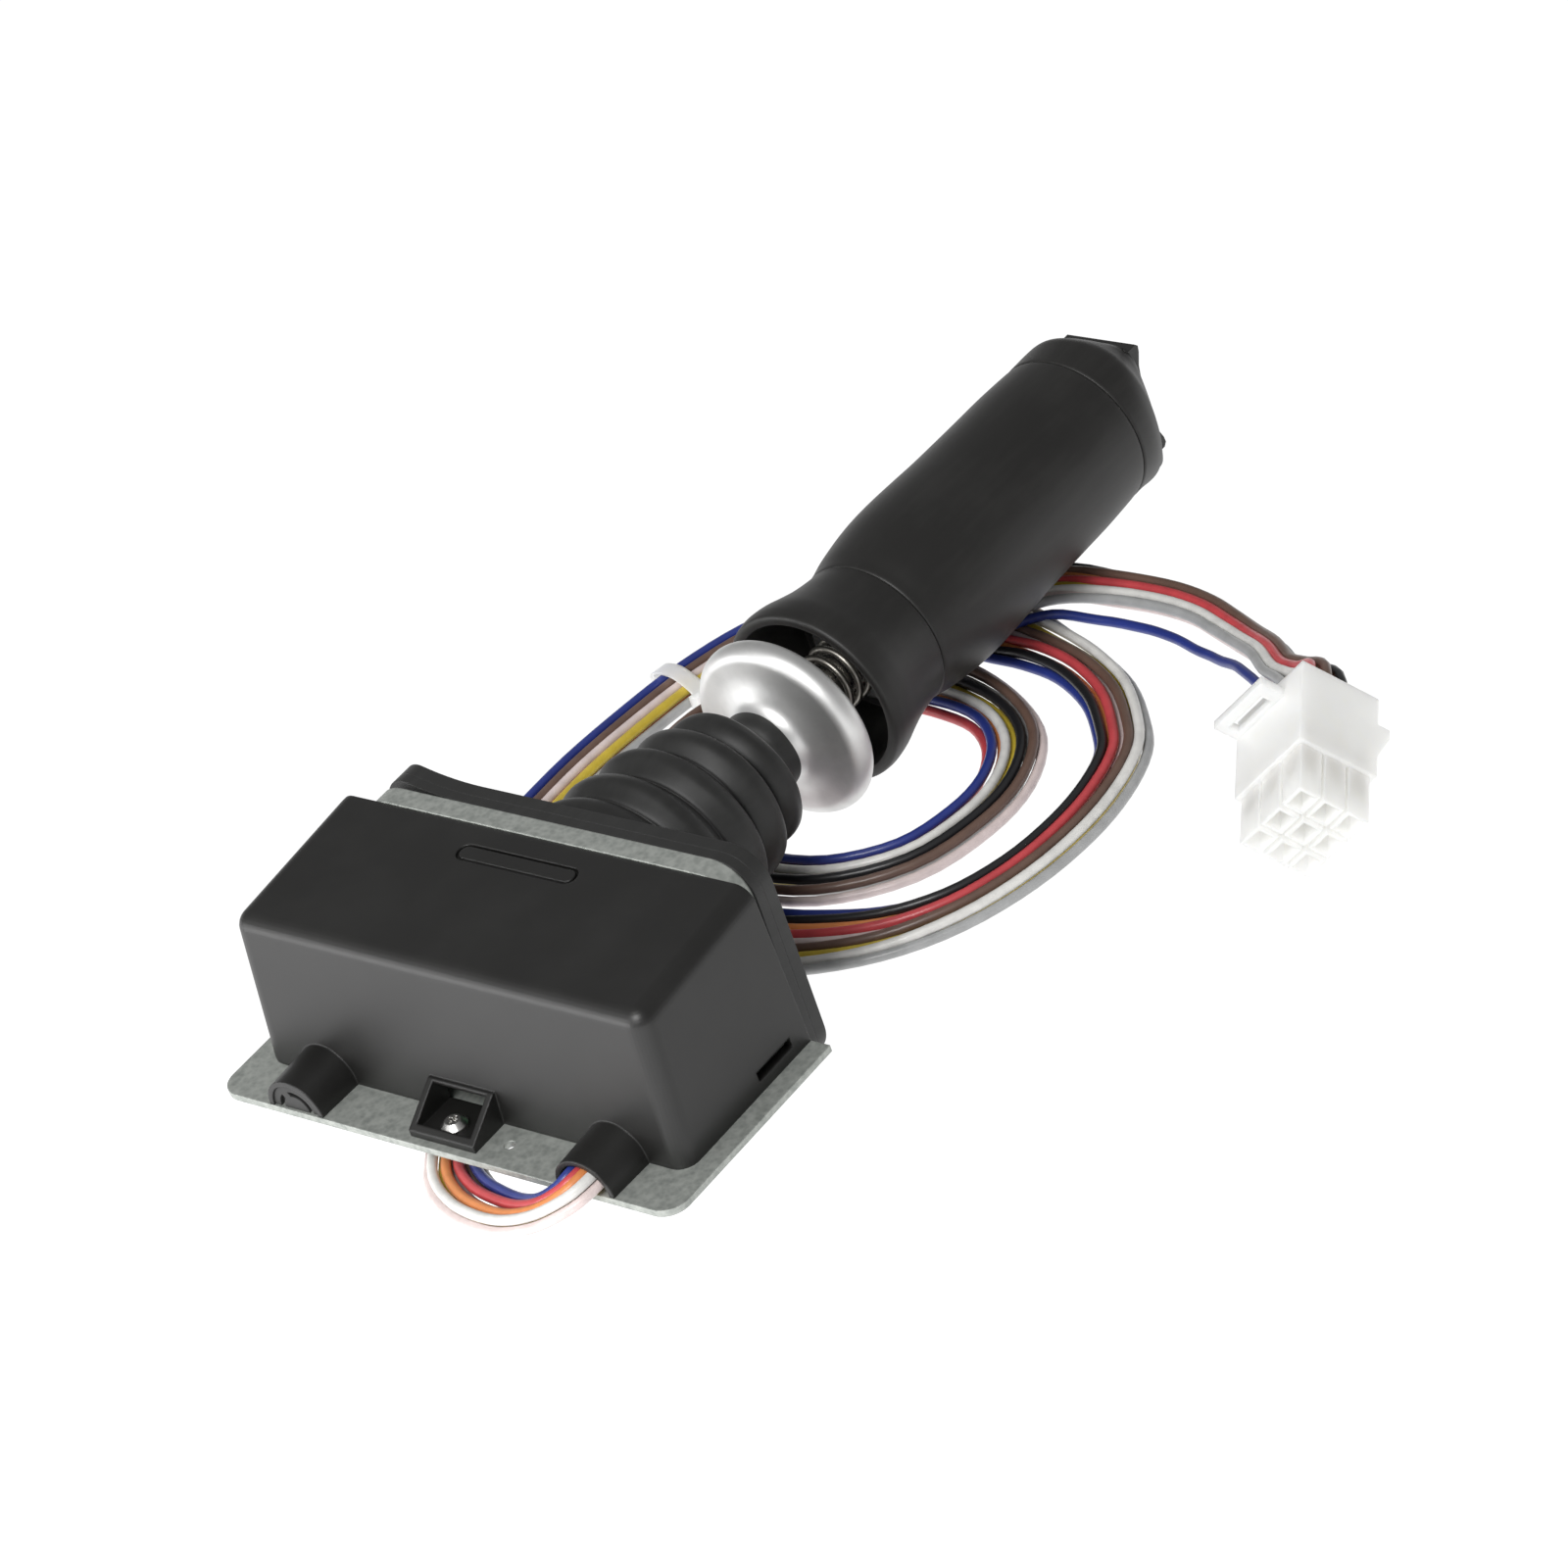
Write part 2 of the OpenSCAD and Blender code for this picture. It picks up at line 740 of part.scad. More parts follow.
module centring_spring() {
  coil_r = 6.1;
  color("#b4b7b9")
    at_pivot() {
      for (i = [0:2])
        translate([0, 0, block_z + 1.2 + i*1.45])
          rotate_extrude($fn = 36)
            translate([coil_r, 0])
              circle(torsion_wire, $fn = 16);
      for (sx = [-1, 1])
        translate([sx*(2.5 + torsion_wire + 0.1), -5, block_z + 1.2 + (sx > 0 ? 0 : 2.9)])
          rotate([90, 0, 0])
            cylinder(r = torsion_wire - 0.08, h = 8.4, $fn = 16);
    }
}

shaft_end = 140;
pin_y = 57.5;                            // line of the collar's cross pin
pin_cross_r = 1.4;

module shaft() {
  color("#c9cccd")
    difference() {
      y_rod(shaft_r, pivot_y - 7, shaft_end);
      y_rod(rod_r + running, pivot_y - 8, shaft_end - 60);
      translate([-shaft_r - 1, pin_y - pin_cross_r - slack, -pin_cross_r - slack])
        cube([2*shaft_r + 2, collar_lift + 2*(pin_cross_r + slack), 2*(pin_cross_r + slack)]);
    }
}

// ---- release collar ----

module lock_rod() {
  color("#c9cccd")
    difference() {
      y_rod(rod_r, rod_tip_y, pin_y + 4);
      translate([-rod_r - 1, pin_y, 0])
        rotate([0, 90, 0])
          cylinder(r = pin_cross_r, h = 2*rod_r + 2);
    }
}

rim_r = 3.2;                             // radius of the collar's rounded rim
collar_back = collar_y + rim_r;

module collar() {
  color("#d6d8da")
    difference() {
      union() {
        y_turn([[shaft_r + running, collar_foot], [collar_neck_r - 1, collar_foot],
                [collar_neck_r, collar_foot + 1], [collar_neck_r, boot_top],
                [collar_neck_r + 1, boot_top + 2], [collar_neck_r + 3, boot_top + 3.6],
                [collar_neck_r + 6, boot_top + 4.4], [collar_r - rim_r, collar_y - rim_r],
                [collar_r - rim_r, collar_back], [shaft_r + running, collar_back]]);
        rotate([-90, 0, 0])
          translate([0, 0, collar_y])
            rotate_extrude()
              translate([collar_r - rim_r, 0])
                circle(rim_r);
      }
      y_turn([[shaft_r + running - 1, collar_back - 2], [spring_r + 1.4, collar_back - 2],
              [spring_r + 1.4, collar_back + 1], [shaft_r + running - 1, collar_back + 1]]);
      translate([-collar_neck_r - 1, pin_y, 0])
        rotate([0, 90, 0])
          cylinder(r = pin_cross_r, h = 2*collar_neck_r + 2);
    }
}

module collar_pin() {
  color("#8f9294")
    translate([-collar_neck_r + 0.2, pin_y, 0])
      rotate([0, 90, 0])
        cylinder(r = pin_cross_r, h = 2*collar_neck_r - 0.4);
}

spring_from = collar_back - 2;
spring_to = 92.6;
spring_turns = 7;

// Coil drawn as stacked rings, each tilted like the wire's pitch.
module collar_spring() {
  pitch = (spring_to - spring_from - 2*spring_wire_r)/(spring_turns - 1);
  color("#8b8d88")
    for (i = [0:spring_turns - 1])
      translate([0, spring_from + spring_wire_r + i*pitch, 0])
        rotate([-90, 0, 0])
          rotate_extrude()
            translate([spring_r, 0])
              circle(spring_wire_r, $fn = 24);
}

module spring_seat() {
  color("#8d9496")
    y_turn([[shaft_r, spring_to], [12, spring_to], [12, spring_to + 1.2], [shaft_r, spring_to + 1.2]]);
}

// ---- grip ----

cup_floor = spring_to + 1.2;
cup_in_r = cup_r - cup_wall;

module grip_cup() {
  color("#262626")
    y_turn([[cup_in_r - 1, cup_y], [cup_r - 0.9, cup_y], [cup_r - 0.2, cup_y + 1.2],
            [cup_r, cup_y + 3], [cup_r - 0.5, cup_y + 6], [cup_r - 1.5, cup_y + 9.5],
            [cup_r - 2.6, cup_y + 13.5], [seam_r + 0.1, cup_y + 18], [seam_r, seam_y],
            [11, seam_y], [11, cup_floor], [cup_in_r - 3.4, cup_floor],
            [cup_in_r - 2.2, cup_y + 12], [cup_in_r - 0.8, cup_y + 6], [cup_in_r - 0.4, cup_y + 2]]);
}

module grip_body() {
  wall_in = 14;
  color("#252525")
    y_turn([[seam_r, seam_y], [seam_r + 1, seam_y + 4], [palm_r - 0.6, seam_y + 11],
            [palm_r, seam_y + 18], [palm_r - 0.1, seam_y + 26], [palm_r - 0.6, seam_y + 38],
            [palm_r - 0.8, seam_y + 50], [palm_r - 0.9, seam_y + 62], [palm_r - 1.3, head_y - 4],
            [palm_r - 1.5, head_y], [wall_in, head_y], [wall_in, seam_y + 4], [11, seam_y + 4],
            [11, seam_y]]);
}

// Moulded core that carries the shaft inside the grip.
module grip_core() {
  color("#3b3d40")
    difference() {
      union() {
        y_rod(10.9, cup_floor, shaft_end - 6);
        for (y = [seam_y + 8, shaft_end - 9])
          y_rod(13.9, y, y + 3);
      }
      y_rod(shaft_r, cup_floor - eps, shaft_end);
    }
}

module grip_nut() {
  color("silver")
    difference() {
      translate([0, shaft_end - 6, 0])
        rotate([-90, 0, 0])
          cylinder(r = 9, h = 5, $fn = 6);
      y_rod(shaft_r, shaft_end - 7, shaft_end + 1);
    }
}

face_y = 186.6;                          // end face of the head, round the rocker
face_w = 21;
face_top = 14;
face_bottom = -18;
well_w = rocker_w + 2*slack;
well_len = rocker_len + 1.6;
rocker_mid = -0.5;
axle_y = 182;
head_base_r = palm_r - 1.5;

module head_shell() {
  color("#232323")
    difference() {
      union() {
        y_turn([[0, head_y], [head_base_r, head_y], [head_base_r + 0.1, head_y + 3],
                [head_r - 0.4, head_rim_y - 2.5], [head_r, head_rim_y], [0, head_rim_y]]);
        hull() {
          y_rod(head_r, head_rim_y - 0.5, head_rim_y, $fn = 48);
          translate([-face_w/2, face_y - 1, face_bottom])
            cube([face_w, 1, face_top - face_bottom]);
        }
      }
      translate([-well_w/2, head_y + 2, rocker_mid - well_len/2])
        cube([well_w, 20, well_len]);
      y_rod(9.5, head_y - 1, head_y + 3);
      translate([-10, axle_y, rocker_mid])
        rotate([0, 90, 0])
          cylinder(r = 1.25, h = 20);
    }
}

module switch_body() {
  color("#1c1c1e")
    translate([-rocker_w/2 + 1, head_y + 2, rocker_mid - 11])
      cube([rocker_w - 2, 3.5, 22]);
}

module rocker_pin() {
  color("#9fa2a4")
    translate([-9.9, axle_y, rocker_mid])
      rotate([0, 90, 0])
        cylinder(r = 1.25, h = 19.8);
}

module rocker_springs() {
  color("#a5a8aa")
    for (sz = [-1, 1], i = [0:2])
      translate([0, head_y + 6 + i*1.3, rocker_mid + sz*8])
        rotate([-90, 0, 0])
          rotate_extrude()
            translate([2, 0])
              circle(0.45, $fn = 16);
}

// Saddle-shaped thumb rocker: side outline in Y and Z, swept along X.
module rocker_cap() {
  h = rocker_len/2;
  color("#202021")
    translate([0, axle_y, rocker_mid])
      difference() {
        translate([-rocker_w/2, 0, 0])
          rotate([90, 0, 90])
            linear_extrude(rocker_w)
              polygon([[0.6, -h], [7.4, -h], [8.2, -h + 0.8], [8, -h + 2.2], [6.8, -h + 5],
                       [6.2, -h + 9], [6.1, 0], [6.2, h - 9], [6.8, h - 5], [8, h - 2.2],
                       [8.2, h - 0.8], [7.4, h], [0.6, h], [0.6, 4], [-1.8, 3], [-1.8, -3],
                       [0.6, -4]]);
        translate([-rocker_w/2 - 1, 0, 0])
          rotate([0, 90, 0])
            cylinder(r = 1.25 + running, h = rocker_w + 2);
      }
}

// ---- wiring lead ----

// Route of the lead: [x, y, z, width, height] of the flat bundle at each point.
route = [
  [38.1, -50, -9, 9, 4.8], [38.1, -56.5, -9, 9, 4.8], [36, -60.3, -10.6, 9.5, 4.8],
  [30.5, -62.6, -13.6, 10.5, 4.6], [22.5, -62.3, -16.8, 12, 4.4], [13, -60, -19.4, 13, 4.2],
  [4, -56.5, -21.6, 13, 4.2], [-4.5, -51, -23.2, 13, 4.4], [-10.5, -43.5, -23.7, 13, 4.4],
  [-16.5, -35.5, -23.7, 13, 4.4], [-25, -27.5, -23.7, 13, 4.4], [-38, -20.5, -23.7, 13, 4.4],
  [-51, -12, -23.7, 13, 4.4], [-60, 0, -23.7, 13, 4.4], [-64, 14, -23.7, 13, 4.4],
  [-65, 30, -23.7, 13, 4.4], [-65, 48, -23.7, 13, 4.4], [-65, 66, -23.7, 13, 4.4],
  [-63, 84, -23.7, 13, 4.4], [-60, 100, -23.7, 13, 4.4], [-54.5, 115, -23.7, 13, 4.4],
  [-46.5, 126, -23.9, 14, 4.1], [-34.5, 133, -24.6, 18.5, 2.8], [-21, 136, -24.8, 21, 2.4],
  [-8, 135.5, -24.8, 21, 2.4], [3, 133.5, -24.8, 19, 2.4], [13.5, 131.2, -24.2, 15, 3.6],
  [25.5, 127.2, -23.7, 13, 4.4], [37.5, 120.5, -23.7, 13, 4.4], [47, 111.3, -23.7, 13, 4.4],
  [52.5, 103.5, -23.7, 13, 4.4], [55.5, 92, -23.7, 13, 4.4], [56, 79, -23.7, 13, 4.4],
  [53.5, 64, -23.7, 13, 4.4], [47, 50, -23.9, 14, 4], [36, 39.5, -24.5, 17, 3],
  [22, 32.5, -24.8, 20, 2.4], [7, 28.5, -24.8, 21, 2.4], [-9, 27.5, -24.8, 21, 2.4],
  [-24, 30.5, -24.8, 20, 2.4], [-37, 37.5, -24.4, 17, 3.2], [-44, 48.5, -23.8, 14, 4.2],
  [-46, 62, -23.7, 13, 4.4], [-46, 78, -23.8, 14, 4.2], [-43, 92, -24.4, 17, 3.2],
  [-36, 103, -24.8, 20, 2.4], [-25, 110.5, -24.8, 21, 2.4], [-11, 114, -24.8, 20, 2.4],
  [3, 113, -24.4, 17, 3.2], [17, 108.3, -23.8, 14, 4.2], [27.5, 100, -23.7, 13, 4.4],
  [33, 88, -23.7, 13, 4.4], [33, 75, -23.7, 13, 4.4], [27, 62.5, -23.7, 13, 4.4],
  [13, 53, -23.7, 13, 4.4], [-4, 49.5, -23.7, 13, 4.4], [-16, 52, -23.7, 13, 4.4],
  [-25, 61, -23.7, 13, 4.4], [-28, 73, -23.9, 14, 4], [-27, 84, -23.4, 18, 2.9],
  [-25, 94, -22.5, 20.5, 2.4], [-22, 104, -22.3, 21, 2.3], [-19, 114, -22.3, 21, 2.3],
  [-15, 124, -22.3, 21, 2.3], [-10, 134, -22.3, 21, 2.3], [-3, 143, -22.3, 20, 2.3],
  [7, 149, -22.4, 16, 2.4], [19, 150.3, -23.2, 13, 3.8], [31, 148.8, -23.5, 12, 4.6],
  [41, 145.5, -23.3, 11, 5], [50, 141, -22.7, 10.5, 5.2], [59.5, 136, -20.7, 10, 5.4],
  [70, 130, -16.8, 10, 5.6], [80, 123.5, -13.2, 10.5, 5.8], [89, 120.2, -9, 11.5, 6],
  [96, 115.9, -6.3, 12.5, 6], [99.8, 109, -7.7, 13, 6]];
ring_sides = 8;

function at(i) = [route[i][0], route[i][1], route[i][2]];
function heading(i) = at(min(i + 1, len(route) - 1)) - at(max(i - 1, 0));
function unit(v) = v/norm(v);
// One ring of the sweep, standing square to the route.
function ring(i) =
  let(t = unit(heading(i)), u = unit([-t[1], t[0], 0]), v = cross(t, u))
  [for (k = [0:ring_sides - 1])
    let(a = 360*(k + 0.5)/ring_sides, s = 1/cos(180/ring_sides))
    at(i) + u*(route[i][3]/2*cos(a)*s) + v*(route[i][4]/2*sin(a)*s)];

module harness() {
  n = len(route);
  m = ring_sides;
  color("#3a4f8f")
    polyhedron(
      points = [for (i = [0:n - 1]) each ring(i)],
      faces = concat(
        [[for (k = [m - 1:-1:0]) k]],
        [for (i = [0:n - 2], k = [0:m - 1])
          [i*m + k, i*m + (k + 1)%m, (i + 1)*m + (k + 1)%m, (i + 1)*m + k]],
        [[for (k = [0:m - 1]) (n - 1)*m + k]]));
}

tie_turn = -14;                           // the tie stands square to the lead here
tie_at = [-60.6, 96.5, -23.55];

module cable_tie() {
  w = 15.4;
  h = 4.9;
  t = 1.1;
  color("#e8e8e4")
    translate(tie_at)
      rotate([0, 0, tie_turn])
        difference() {
          union() {
            translate([-w/2 - t, -2.2, -2.45])
              cube([w + 2*t, 4.4, h + t]);
            translate([w/2 - 2, -3, h/2])
              cube([5.5, 6, 4]);
          }
          translate([-w/2, -5, -2.45 - eps])
            cube([w, 10, h + eps]);
        }
}

// ---- connector ----

conn_tilt = [13, -40, 20.5];             // the connector lies on one edge, nose down
conn_pos = [99.8, 109, -7.7];            // centre of its rear face, where the lead goes in

module at_connector() {
  translate(conn_pos)
    rotate(conn_tilt)
      children();
}

// The nine sockets, three across and three high.
module at_sockets() {
  for (i = [-1:1], k = [-1:1])
    translate([i*socket_dx, 0, k*socket_dz])
      children();
}

retainer_t = 3.6;
retainer_wall = 1.6;                     // housing wall round the retainer
wire_hole_r = 1.3;
loop_t = 2;                              // thickness of the latch loop
loop_h = 5.6;                            // how far the loop stands off the block
loop_w = 16;
loop_y = -5;

module connector_housing() {
  color("#eeeee8")
    at_connector()
      difference() {
        union() {
          translate([-conn_w/2, -conn_rear, -conn_h/2])
            cube([conn_w, conn_rear, conn_h]);
          at_sockets()
            translate([-tower_w/2, -conn_rear - conn_front, -tower_h/2])
              cube([tower_w, conn_front + eps, tower_h]);
          translate([-conn_w/2, loop_y, conn_h/2 - eps])
            difference() {
              cube([loop_w, loop_t, loop_h]);
              translate([2, -1, loop_h - 4.6])
                cube([loop_w - 5, loop_t + 2, 2.4]);
            }
          translate([2, 0, -conn_h/2 + eps])
            rotate([90, 0, 90])
              linear_extrude(conn_w/2 - 2)
                polygon([[-7, 0], [-7, -2.8], [-9.4, -2.8], [-15.5, 0]]);
        }
        at_sockets() {
          translate([-tower_w/2 + tower_wall, -conn_rear - conn_front - eps, -tower_h/2 + tower_wall])
            cube([tower_w - 2*tower_wall, conn_front + conn_rear - 8, tower_h - 2*tower_wall]);
          rotate([90, 0, 0])
            cylinder(r = wire_hole_r, h = 10);
        }
        translate([-conn_w/2 + retainer_wall, -retainer_t, -conn_h/2 + retainer_wall])
          cube([conn_w - 2*retainer_wall, retainer_t + 1, conn_h - 2*retainer_wall]);
      }
}

module connector_retainer() {
  w = conn_w - 2*retainer_wall - 0.1;
  h = conn_h - 2*retainer_wall - 0.1;
  color("#e2e2dc")
    at_connector()
      difference() {
        translate([-w/2, -retainer_t, -h/2])
          cube([w, retainer_t - 0.15, h]);
        at_sockets()
          rotate([90, 0, 0])
            translate([0, 0, -1])
              cylinder(r = wire_hole_r, h = retainer_t + 2);
      }
}

module connector_terminals() {
  color("#c9a557")
    at_connector()
      at_sockets()
        translate([0, -conn_rear + 6, 0])
          rotate([90, 0, 0])
            difference() {
              cylinder(r = 1.5, h = 12);
              translate([0, 0, 2])
                cylinder(r = 1.1, h = 12);
            }
}

// ---- one line per node ----

mounting_flange();
base_tray();
tray_screws();
cover();
cover_screw();
blanking_plug();
outlet_grommet();
flange_gasket();
boot_base();
boot();
pivot_frame();
frame_screws();
upper_bush();
lower_bush();
lock_gate();
spring_anchor();
position_sensor();
sensor_nut();
sensor_pinion();
circuit_board();
board_parts();
board_spacers();
board_screws();
pivot_block();
block_screw();
trunnion_pins();
sector_gear();
centring_spring();
shaft();
lock_rod();
collar();
collar_pin();
collar_spring();
spring_seat();
grip_cup();
grip_body();
grip_core();
grip_nut();
head_shell();
switch_body();
rocker_pin();
rocker_springs();
rocker_cap();
harness();
cable_tie();
connector_housing();
connector_retainer();
connector_terminals();
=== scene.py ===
# %% [markdown]
# # Industrial joystick
#
# A control lever for one axis: a galvanised flange and tray under a moulded cover, a
# rubber bellows, a collar that is lifted to unlock the lever, a rubber hand grip with a
# thumb rocker in its head, and a nine-wire lead with a nylon connector.
#
# The CAD model is the frame. Each piece below is made in the same coordinates, and all but
# the bellows ride on one of the CAD bodies. Everything could be modelled again, but the
# hard parts are already right, so they keep their CAD shape and get a finish. The rubber,
# the collar and its spring, the head, the wires and the tie are modelled here, because
# their look depends on curves that the CAD leaves simple.

# %% The frame
import json
import math

import bmesh
import bpy
from mathutils import Euler, Matrix, Vector


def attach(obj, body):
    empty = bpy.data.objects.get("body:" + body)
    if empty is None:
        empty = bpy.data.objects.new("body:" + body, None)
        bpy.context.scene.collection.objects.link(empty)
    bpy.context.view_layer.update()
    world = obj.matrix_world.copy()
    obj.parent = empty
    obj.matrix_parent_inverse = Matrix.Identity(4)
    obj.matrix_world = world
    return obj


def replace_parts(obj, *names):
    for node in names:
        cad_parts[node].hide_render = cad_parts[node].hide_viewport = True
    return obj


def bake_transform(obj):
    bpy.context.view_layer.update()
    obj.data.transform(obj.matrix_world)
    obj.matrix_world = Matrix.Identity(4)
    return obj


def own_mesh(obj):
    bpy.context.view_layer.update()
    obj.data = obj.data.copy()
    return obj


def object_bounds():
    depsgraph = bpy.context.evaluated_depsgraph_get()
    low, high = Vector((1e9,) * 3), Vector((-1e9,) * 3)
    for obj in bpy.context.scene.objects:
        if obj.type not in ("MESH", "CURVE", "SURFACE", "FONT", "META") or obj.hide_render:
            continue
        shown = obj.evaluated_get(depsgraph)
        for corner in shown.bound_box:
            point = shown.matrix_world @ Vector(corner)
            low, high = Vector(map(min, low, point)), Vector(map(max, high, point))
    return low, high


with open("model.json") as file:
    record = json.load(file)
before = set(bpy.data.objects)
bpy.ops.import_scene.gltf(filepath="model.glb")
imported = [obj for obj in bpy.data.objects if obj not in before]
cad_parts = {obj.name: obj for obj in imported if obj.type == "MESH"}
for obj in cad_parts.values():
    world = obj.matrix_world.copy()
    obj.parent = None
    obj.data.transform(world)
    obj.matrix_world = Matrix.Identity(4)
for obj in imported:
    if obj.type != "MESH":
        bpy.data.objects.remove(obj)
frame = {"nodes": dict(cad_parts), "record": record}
cad_low, cad_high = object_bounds()
nodes = frame["nodes"]
MM = 0.001

# %% [markdown]
# ## Camera
#
# The joystick is seen from its front right and from well above, through a long lens. A
# camera can be aimed by hand, but small errors show at once along straight edges. This
# one was solved by least squares from the corners of the cover, the tray and the
# flange, so its axes, its place and its lens are written out.

# %% Camera
RIGHT = Vector((0.76873, 0.57673, -0.27645))
DOWN = Vector((0.16535, -0.59678, -0.78518))
AHEAD = Vector((-0.61782, 0.55789, -0.55413))
EYE = Vector((0.7579, -0.6237, 0.6693))
SENSOR_MM, LENS_MM = 36.0, 137.97
NEAREST, FARTHEST = 0.05, 20.0

lens = bpy.data.cameras.new("camera")
lens.sensor_width = SENSOR_MM
lens.lens = LENS_MM
lens.clip_start = NEAREST
lens.clip_end = FARTHEST
camera = bpy.data.objects.new("camera", lens)
bpy.context.scene.collection.objects.link(camera)
turn = Matrix((RIGHT, -DOWN, -AHEAD)).transposed().to_4x4()
camera.matrix_world = Matrix.Translation(EYE) @ turn
bpy.context.scene.camera = camera
print("camera", [round(v, 4) for v in EYE], "lens", lens.lens)

# %% [markdown]
# ## Shader sums
#
# A finish can be wired up by hand, with one Math node for each sum, but such a tree is
# hard to read back. `Value` wraps a socket and takes part in ordinary sums, so
# `noise * 0.2 + 0.5` makes its own Math nodes and a finish reads as a formula.

# %% Sums on sockets
class Value:
    """A shader socket that can be added, subtracted and multiplied."""

    def __init__(self, finish, socket):
        self.finish = finish
        self.socket = socket

    def _math(self, kind, a, b):
        made = self.finish.node("ShaderNodeMath", {"operation": kind}, {0: a, 1: b})
        return made[0]

    def __add__(self, other):
        return self._math("ADD", self, other)

    def __radd__(self, other):
        return self._math("ADD", other, self)

    def __sub__(self, other):
        return self._math("SUBTRACT", self, other)

    def __rsub__(self, other):
        return self._math("SUBTRACT", other, self)

    def __mul__(self, other):
        return self._math("MULTIPLY", self, other)

    def __rmul__(self, other):
        return self._math("MULTIPLY", other, self)

    def between(self, low, high):
        """0 below low, 1 above high, smooth in the middle."""
        made = self.finish.node(
            "ShaderNodeMapRange",
            {"interpolation_type": "SMOOTHSTEP"},
            {"Value": self, "From Min": low, "From Max": high},
        )
        return made[0]


print("sums on sockets ready")

# %% [markdown]
# ## One material
#
# `Finish` holds one material, with its shader and its output made at the start. A node
# group could hold what the finishes share, but plain methods are shorter: `node` makes
# any node from its type, its settings and its inputs, and the others call it. All
# patterns use the object's own coordinates, so nothing has to be unwrapped.

# %% One material
class Finish:
    """One material, with its shader and its output made at the start."""

    def __init__(self, name):
        self.material = bpy.data.materials.new(name)
        self.material.use_nodes = True
        self.tree = self.material.node_tree
        self.tree.nodes.clear()
        output = self.tree.nodes.new("ShaderNodeOutputMaterial")
        self.shader = self.tree.nodes.new("ShaderNodeBsdfPrincipled")
        self.tree.links.new(self.shader.outputs[0], output.inputs["Surface"])
        self.place = self.node("ShaderNodeTexCoord", {}, {})[3]  # its Object output

    def put(self, target, value):
        """Link a value to an input, or set the input to a number or a colour."""
        if isinstance(value, Value):
            self.tree.links.new(value.socket, target)
        elif isinstance(value, (tuple, list)):
            target.default_value = (*value, 1.0)[: len(target.default_value)]
        else:
            target.default_value = value

    def node(self, kind, settings, inputs):
        """Any node: its settings first, then its inputs. Gives back its outputs."""
        made = self.tree.nodes.new(kind)
        for key, value in settings.items():
            setattr(made, key, value)
        for key, value in inputs.items():
            self.put(made.inputs[key], value)
        return [Value(self, s) for s in made.outputs]

    def scaled(self, x, y, z):
        """The place on the object, in units of 1/x, 1/y and 1/z metres."""
        return self.node(
            "ShaderNodeVectorMath", {"operation": "MULTIPLY"}, {0: self.place, 1: (x, y, z)}
        )[0]

    def noise(self, scale, detail=3.0, rough=0.55, at=None):
        """Soft cloudy noise from 0 to 1."""
        made = self.node(
            "ShaderNodeTexNoise",
            {},
            {"Vector": at or self.place, "Scale": scale, "Detail": detail, "Roughness": rough},
        )
        return made[0]

    def cells(self, scale):
        """Distance to the nearest of many scattered points, as in zinc crystals."""
        return self.node("ShaderNodeTexVoronoi", {}, {"Vector": self.place, "Scale": scale})[0]

    def mix(self, amount, a, b):
        """Colour a where amount is 0, colour b where it is 1."""
        return self.node("ShaderNodeMix", {"data_type": "RGBA"}, {0: amount, 6: a, 7: b})[2]

    def edges(self, radius):
        """Normal of the surface with its sharp edges eased over radius metres."""
        return self.node("ShaderNodeBevel", {"samples": 6}, {"Radius": radius})[0]

    def bump(self, height, distance, strength=1.0, normal=None):
        """Normal of the surface with a pattern that stands up by distance metres."""
        inputs = {"Height": height, "Distance": distance, "Strength": strength}
        if normal is not None:
            inputs["Normal"] = normal
        return self.node("ShaderNodeBump", {}, inputs)[0]

    def set(self, **inputs):
        """Fill the shader's inputs, with _ for each space, and give the material."""
        for key, value in inputs.items():
            self.put(self.shader.inputs[key.replace("_", " ")], value)
        return self.material


print("material helper ready")

# %% [markdown]
# ## Metals
#
# The flange and tray are galvanised sheet: dull, slightly green-grey, with a faint
# spangle and rolling lines. An image texture could be laid over them, but noise has no
# seams and needs no file. The small steel parts are plated and brighter. The collar is
# turned on a lathe, so its fine lines run round the lever's axis.

# %% Metal finishes
def galvanised(name, light, dark):
    """Zinc-dipped sheet, rolled along X, between a light and a dark grey."""
    f = Finish(name)
    spangle = f.cells(900.0)
    cloud = f.noise(420.0, 4.0)
    rolled = f.noise(1.0, 3.0, at=f.scaled(120.0, 2600.0, 2600.0))
    colour = f.mix((cloud * 0.8 + spangle * 0.3).between(0.25, 0.80), dark, light)
    normal = f.bump(rolled + cloud * 0.6, 0.00003, 0.6, f.edges(0.0004))
    return f.set(
        Base_Color=colour,
        Metallic=0.55,
        Roughness=0.44 + cloud * 0.16,
        Normal=normal,
    )


def turned(name, colour, rough, lines=0.00002):
    """Metal cut on a lathe about the Y axis."""
    f = Finish(name)
    ring = f.noise(1.0, 2.0, at=f.scaled(40.0, 9000.0, 40.0))
    smear = f.noise(160.0, 4.0)
    normal = f.bump(ring, lines, 0.35, f.edges(0.0003))
    return f.set(
        Base_Color=f.mix(smear.between(0.35, 0.8), colour, [c * 0.86 for c in colour]),
        Metallic=1.0,
        Roughness=rough + smear * 0.10,
        Normal=normal,
    )


def plated(name, colour, rough):
    """Small plated or drawn metal parts, slightly cloudy."""
    f = Finish(name)
    cloud = f.noise(240.0, 4.0)
    return f.set(
        Base_Color=f.mix(cloud.between(0.3, 0.75), colour, [c * 0.8 for c in colour]),
        Metallic=1.0,
        Roughness=rough + cloud * 0.15,
        Normal=f.bump(cloud, 0.00002, 0.5, f.edges(0.00025)),
    )


